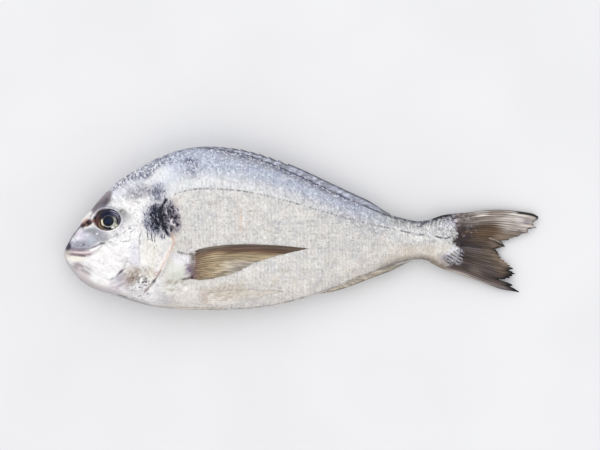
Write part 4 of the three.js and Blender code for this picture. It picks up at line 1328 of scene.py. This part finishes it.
def tail_tint(across, out, x, y):
    from_top, from_low = through(TAIL_TOP, x) - y, y - through(TAIL_LOW, x)
    end = np.interp(across, tail_shares, tail_reach)
    tips = fall(end - x, 1.0, 9.0)
    grooves = forked(across, out, TAIL_RAYS)
    lines = (0.5 - 0.5 * grooves) ** 3 * (0.7 + 0.6 * noise(x, across * 150, 4, 45))
    on_trunk = 1 - past_root(x, y)
    glitter = noise(x, y, 0.8, 53) + 0.4 * noise(x, y, 1.7, 54)
    scattered = fall(x, 266, 281) * smooth(y, 6, 12)
    tint = lay(one_colour(x, "564940"), x, y, [
        (fall(from_top, 6, 11), "9c9087"),
        (0.9 * fall(x, 266, 279) * fall(from_top, 7, 12), "756b69"),
        (0.85, "624d38", (283, 11.5), (13, 5.5), 6, 0.5),
        (0.9, "cbc1bb", (306, 18.5), (14, 8.5), -8),
        (0.85, "e4dfda", (303.4, 23.6), (5.4, 1.5), 0),
        (0.85, "e6dddc", (305.4, 19.6), (4, 2.6), -10),
        (0.8, "b2a8b1", (309.4, 18.8), (2, 1.5), 0),
        (0.7, "a1907f", (299, 9), (9, 3), 0),
        (0.65, "958a83", (303, 14.8), (4.4, 1.9), -8),
        (0.97, "2c2023", (268, 11), (10, 5.5), 0),
        (0.9, "32262a", (265, 3.5), (10, 7), 0),
        (0.6, "33282a", (275.5, 8.4), (7.5, 4), 0),
        (0.5, "5e4428", (272, 12.5), (6, 2), 10),
        (0.45, "66533f", (279, 6.6), (8, 1.3), 0),
        (0.7, "86756a", (287.4, 4), (4, 1.6), -12),
        (0.8, "a8937f", (290.4, 8.2), (3.6, 1.6), -10),
        (1, "1a1114", [(262, 3.4), (277.5, 2), (284, 1.3), (287.4, 0.8), (290.4, 1.7)], 1),
        (1.1, "130c0e", [(287.6, 6), (291.3, 3.9), (294.8, 2.3)], 0.6),
        (0.9, "c9b9ad", [(284.6, 7.8), (288.8, 6.3), (292.4, 4.6)], 0.5),
        (0.35, "7a6c62", (285, -3), (7, 4), -20),
        (0.55, "75696a", (272, 0), (7, 2.6), -6),
        (0.6, "4f4647", (284, -12), (8, 3), -22),
        (0.6, "4c3f46", (285.5, -17.2), (7, 2.8), -22),
        (0.5, "7d726f", (274, -13.4), (5, 2), -22),
        (0.7, "3a3134", (267, -8), (6, 5), 0),
        (0.8 * fall(from_low, 1.4, 3.6), "857a7c"),
        (0.9 * fall(from_low, 0.6, 1.8) * fall(x, 284, 294), "aaa096"),
        (0.7, "d9d3cd", (279, 24.4), (4.2, 2), 0),
        (0.6, "5f4a34", (281, 11), (9, 3.2), 4),
        (0.4 * fall(end - x, 4, 12) * span(across, 0.5, 0.86, 0.06), "8a7663"),
        (1.2 * tips * span(across, 0.7, 1.1, 0.05), "0c090a"),
        (fall(end - x, 0.8, 2.6) * span(across, 0.5, 0.72, 0.05), "171213"),
        (0.7, "a39080", (294.6, -8.4), (3.4, 2.6), -35, 0.7),
        (0.35, "8a7867", (290.4, -12.6), (3.6, 2), -30, 0.7),
        (0.8 * fall(end - x, 0, 1.8) * fall(across, 0.45, 0.55), "3d3333"),
        (0.95, "2a2424", [(310.4, 14.4), (316.4, 14.6)], 0.8),
        (0.7, "4a3b38", [(303.4, 13), (309, 11.4)], 0.5),
        (0.97 * fall(from_top, 1.2, 2.7) * smooth(x, 300, 305), "121216"),
        (0.75 * fall(from_top, 0.2, 0.7), "3f393b"),
        (0.7 * lines * smooth(out, 0.2, 0.4), "231a1a"),
    ])
    tint = tint * (1 + 0.2 * grooves * smooth(out, 0.08, 0.3))[:, None]
    tint = lay(tint, x, y, [
        (on_trunk, "b9b3bf"),
        (on_trunk * fall(y, -7, -1), "8d7f72"),
        (0.9 * on_trunk * smooth(glitter, -0.2, 0.3) * smooth(y, 6, 11), "3c3a42"),
        (0.35 * scattered * smooth(-glitter, 0.2, 0.6), "b3aab0"),
        (0.6 * scattered * smooth(glitter, 0.15, 0.5), "3b3336"),
        (0.95 * fall(x, 256, 265) * fall(from_top, 1, 2.8), "25222b"),
    ])
    return root_of_tail(tint, x, y)


def fin_material(name, fine_streaks, broad_streaks, contrast):
    """Thin wet skin on rays, with streaks drawn out along them, a number of them round the fin."""
    material, tree, surface = new_material(name)
    unrolled = add_node(tree, "UVMap", uv_map="UVMap").outputs[0]
    fine = add_node(tree, "Mapping", {"Vector": unrolled, "Scale": (fine_streaks, 4.5, 1)}).outputs[0]
    broad = add_node(tree, "Mapping", {"Vector": unrolled, "Scale": (broad_streaks, 2.6, 1)}).outputs[0]
    fine = add_node(tree, "TexNoise", {"Vector": fine, "Scale": 1.0, "Detail": 3.0}).outputs["Fac"]
    broad = add_node(tree, "TexNoise", {"Vector": broad, "Scale": 1.0, "Detail": 2.0}).outputs["Fac"]
    fine_tone = range_node(tree, fine, 0.32, 0.68, 1 - 0.45 * contrast, 1 + 0.4 * contrast)
    broad_tone = range_node(tree, broad, 0.34, 0.66, 1 - 0.35 * contrast, 1 + 0.25 * contrast)
    tone = math_node(tree, "MULTIPLY", fine_tone, broad_tone)
    feed(tree, surface, {
        "Base Color": toned_node(tree, attribute_node(tree, "tint")["Color"], tone),
        "Roughness": range_node(tree, fine, 0.3, 0.7, 0.32, 0.5),
        "Normal": bump_node(tree, fine, 0.4, 0.0002),
        "Specular IOR Level": 0.2,
        "Coat Weight": 0.1,
        "Coat Roughness": 0.15,
    })
    return material


tail = fin_piece("tail_fin", TAIL_COLUMNS, TAIL_ROWS, tail_middle, tail_half, tail_tint, 1.35)
finish_piece(tail, fin_material("tail_skin", 190, 60, 0.9), "skin", "fish")

# ---- Side and belly fins ----
# A pair of long pointed fins on the shoulders and a pair of short ones on the belly, each folded
# shut and lying back against its flank. The ones below are pressed between the fish and the table.

SIDE_ENDS = [
    (0, 163, 1), (0.12, 156, -0.6), (0.25, 147, -2.6), (0.38, 137, -5.2), (0.52, 127, -8.6),
    (0.66, 117.5, -13.8), (0.8, 107, -17.4), (0.92, 97, -19.4), (1, 91.5, -20),
]
SIDE_RAYS, SIDE_COLUMNS, SIDE_ROWS = 15, 120, 60
SIDE_BOW = 8.2
PELVIC_ENDS = [
    (0, 146, -27.5), (0.3, 137, -29.6), (0.6, 126, -32.8), (0.85, 114, -36), (1, 107, -36.9),
]
PELVIC_RAYS, PELVIC_COLUMNS, PELVIC_ROWS = 6, 48, 40
PAIRED_HALF = 0.3


def laid_fin(name, flank, counts, root, ends, bow, lift, tint_at):
    """A fin laid back against a flank. root holds the first and last places of its foot and how far
    it curves back between them, ends the tips of its rays as (share across, x, y), bow how far the
    first ray bends up, and lift how high it lies on the skin."""
    rays, columns, rows = counts
    first, last, curve = root
    shares, end_x, end_y = np.array(ends).T

    def middle_at(across, out):
        foot = np.array(first) + (np.array(last) - first) * across[:, None]
        foot[:, 0] += curve * np.sin(np.pi * across)
        tip = np.stack([np.interp(across, shares, end_x), np.interp(across, shares, end_y)], -1)
        tip[:, 0] -= 0.8 * (1 + noise(across * 100, 0 * across, 2.0, 41)) * (across > 0)
        bend = foot + (tip - foot) * 0.3
        bend[:, 1] += bow * (1 - across) ** 1.6
        t = out[:, None]
        x, y = ((1 - t) ** 2 * foot + 2 * t * (1 - t) * bend + t**2 * tip).T
        z = flank_height(x, y, flank) + flank * mix(-0.7, lift, smooth(out, 0, 0.14))
        return np.stack([x, y, on_table(z, PAIRED_HALF + 0.2) if flank < 0 else z], -1)

    def half_at(across, out):
        return mix(0.55, PAIRED_HALF, smooth(out, 0, 0.3)) + 0.1 * forked(across, out, rays)

    return fin_piece(name, columns, rows, middle_at, half_at, tint_at)


def side_fin_tint(across, out, x, y):
    depth = through([(84, -2.5), (93.5, 1.4), (104, 2.9), (121, 3.1), (140, 2.5), (163, 1)], x) - y
    grooves = forked(across, out, SIDE_RAYS)
    lines = (0.5 - 0.5 * grooves) ** 4 * (0.8 + 0.5 * noise(x, across * 90, 3, 44))
    tint = lay(one_colour(x, "a9987b"), x, y, [
        (0.75 * fall(x, 90, 102), "907b62"),
        (0.7 * fall(x, 87, 92), "84695e"),
        (0.7, "8b8e98", (92.5, -0.4), (5, 1.8), 18),
        (0.8 * fall(depth, 3.5, 7.5), "84694f"),
        (0.9 * fall(depth, 1.5, 4.5), "5f5048"),
        (0.7 * fall(depth, 0.4, 2) * smooth(x, 86, 94) * fall(x, 100, 112), "7e786c"),
        (0.7 * span(depth, 2.2, 4.4, 0.8) * smooth(x, 100, 110), "57392d"),
        (0.5 * smooth(across, 0.5, 0.85) * smooth(x, 94, 102), "cbbda4"),
        (0.8 * smooth(depth, 8, 13) * smooth(x, 101, 114), "d6cdc0"),
        (0.8 * fall(x, 85.6, 88.6) * smooth(depth, 4, 7), "8a6f80"),
        (0.6 * smooth(across, 0.86, 0.98) * smooth(x, 90, 96), "d8ccbe"),
        # painted shade in the notch under the fin's foot
        (0.95 * fall(np.hypot(x - 84, y + 19), 1.2, 3.2), "3a2226"),
        (0.85 * lines * smooth(out, 0.02, 0.1) * (1 - 0.8 * smooth(x, 112, 135)), "4a3729"),
    ])
    return tint * (1 + 0.12 * grooves * smooth(out, 0.05, 0.2))[:, None]


def belly_fin_tint(across, out, x, y):
    grain = noise(x, y, 1.0, 43) + 0.5 * noise(x, y, 0.6, 79)
    tint = lay(trunk_tint(x, y), x, y, [
        (0.35 * smooth(x, 118, 130), "d3c8b8"),
        (0.45 * smooth(grain, 0.3, 0.8), "a2937f"),
        (0.5 * smooth(-grain, 0.3, 0.8), "efe6e0"),
    ])
    return tint * (1 + 0.1 * forked(across, out, PELVIC_RAYS))[:, None]


side_skin = fin_material("side_fin_skin", 90, 34, 0.75)
belly_skin = fin_material("belly_fin_skin", 40, 14, 0.2)
for side, flank in (("left", 1), ("right", -1)):
    side_fin = laid_fin("side_fin_" + side, flank, (SIDE_RAYS, SIDE_COLUMNS, SIDE_ROWS),
                        ((84.4, -1.2), (83.4, -19.0), 2.8), SIDE_ENDS, SIDE_BOW, 0.72, side_fin_tint)
    finish_piece(side_fin, side_skin, "skin", "fish")
    belly_fin = laid_fin("belly_fin_" + side, flank, (PELVIC_RAYS, PELVIC_COLUMNS, PELVIC_ROWS),
                         ((92.5, -30), (93, -36.2), 0.6), PELVIC_ENDS, 4.5, 0.5, belly_fin_tint)
    finish_piece(belly_fin, belly_skin, "skin", "fish")

# ---- Back and anal fins ----
# Spiny fins folded down flat along the fish's edges: a row of stiff spines joined by thin skin,
# which leave a notched edge, and soft rays behind them that end in a free tip.

BACK_FIN = {
    "from": 76, "to": 209, "tip": 218, "height": 4.6, "half": 0.8, "spines": 11, "spine_share": 0.52,
    "soft_rays": 16, "skin": "a9abba", "rear": "96978f", "rim": "3a3c4a",
}
ANAL_FIN = {
    "from": 163, "to": 208, "tip": 233, "height": 3.6, "half": 0.75, "spines": 3, "spine_share": 0.2,
    "soft_rays": 3, "skin": "b3a89c", "rear": "9d9a8c", "rim": "7d766a",
}
FOLD_SUNK, FOLD_LEAN, FOLD_NOTCH = 2.2, 3.5, 0.28


def folded_fin(name, fin, edge, columns):
    """A fin folded down along the back or the belly, whose outline runs in the station column edge."""
    away = 1 if edge == BACK else -1

    def swell(across):
        spiny = np.cos(2 * np.pi * fin["spines"] * across / fin["spine_share"])
        soft = np.cos(2 * np.pi * 2 * fin["soft_rays"] * across)
        return np.where(across < fin["spine_share"], spiny, 0.6 * soft)

    def middle_at(across, out):
        x = mix(fin["from"], fin["to"], across)
        along_spines = across / fin["spine_share"] * fin["spines"]
        notch = np.where(across < fin["spine_share"], along_spines % 1, 0)
        grow = smooth(across, 0, 0.3) * mix(0.55, 1, smooth(across, 0.2, 0.6))
        laid = x + mix(FOLD_LEAN, fin["tip"] - fin["to"], smooth(across, 0.4, 1)) * out
        taper = 1 - 0.85 * smooth(laid, fin["tip"] - 18, fin["tip"] + 2)
        tall = fin["height"] * grow * (1 - FOLD_NOTCH * notch) * taper
        y = station(edge, laid) + away * ((tall + FOLD_SUNK) * out - FOLD_SUNK)
        return np.stack([laid, y, station(MIDDLE, laid)], -1)

    def half_at(across, out):
        half = fin["half"] * mix(1, 0.45, out) * (1 - 0.3 * smooth(across, 0.8, 1))
        return half * (1 + 0.3 * swell(across) * smooth(out, 0.2, 0.6))

    def tint_at(across, out, x, y):
        tint = cover(one_colour(x, fin["skin"]), 0.9 * smooth(x, 208, 218), fin["rear"])
        tint = cover(tint, 0.8 * smooth(out, 0.72, 0.95), fin["rim"])
        return tint * (1 + 0.2 * swell(across))[:, None]

    return fin_piece(name, columns, 10, middle_at, half_at, tint_at)


spiny_skin = fin_material("spiny_fin_skin", 130, 60, 0.8)
finish_piece(folded_fin("back_fin", BACK_FIN, BACK, 300), spiny_skin, "skin", "fish")
finish_piece(folded_fin("anal_fin", ANAL_FIN, BELLY, 110), spiny_skin, "skin", "fish")

# ---- Table, light and camera ----
# The fish lies on a plain pale table. Two broad soft lights hang over its back and its belly, and the
# camera looks straight down on it.

bpy.ops.object.select_all(action="DESELECT")
bpy.ops.mesh.primitive_plane_add(size=4, location=(0, 0, -0.0002))
table = add_mesh_piece("table")
material, tree, surface = new_material("pale_table")
mottle = range_node(tree, noise_node(tree, (1, 1, 1), 0.0, 2.0, 9.0), 0.3, 0.7)
pale = blend_node(tree, mottle, rgb("e4e4e6"), rgb("e8e8ea"))
feed(tree, surface, {"Base Color": pale, "Roughness": 0.6})
table.data.materials.append(material)

world = bpy.data.worlds.new("soft_room")
bpy.context.scene.world = world
world.use_nodes = True
sky = world.node_tree
feed(sky, sky.nodes["Background"], {"Color": (0.94, 0.945, 0.955, 1), "Strength": 0.88})


def soft_light(name, place, aim, size, watts, colour):
    light = bpy.data.lights.new(name, "AREA")
    light.shape, light.size, light.energy, light.color = "SQUARE", size, watts, colour
    lamp = bpy.data.objects.new(name, light)
    bpy.context.collection.objects.link(lamp)
    lamp.location = place
    lamp.rotation_euler = (Vector(aim) - Vector(place)).to_track_quat("-Z", "Y").to_euler()


soft_light("key_light", (-0.15, 0.6, 1.1), (0, 0, 0), 1.3, 4.2, (1, 0.99, 0.97))
soft_light("fill_light", (0.2, -0.7, 0.9), (0, 0, 0), 1.3, 2.6, (1, 0.985, 0.96))

CAMERA_HEIGHT = 5.0
OUTLINE_HEIGHT = 0.014  # the height above the table at which the fish's outline lies
VIEW_WIDTH = 0.402
VIEW_CENTRE = (-0.00105, 0.00232)
camera = bpy.data.cameras.new("overhead")
camera.sensor_width = 36
camera.lens = camera.sensor_width * (CAMERA_HEIGHT - OUTLINE_HEIGHT) / VIEW_WIDTH
overhead = bpy.data.objects.new("overhead", camera)
bpy.context.collection.objects.link(overhead)
overhead.location = (*VIEW_CENTRE, CAMERA_HEIGHT)
bpy.context.scene.camera = overhead
bpy.context.scene.view_settings.view_transform = "Standard"
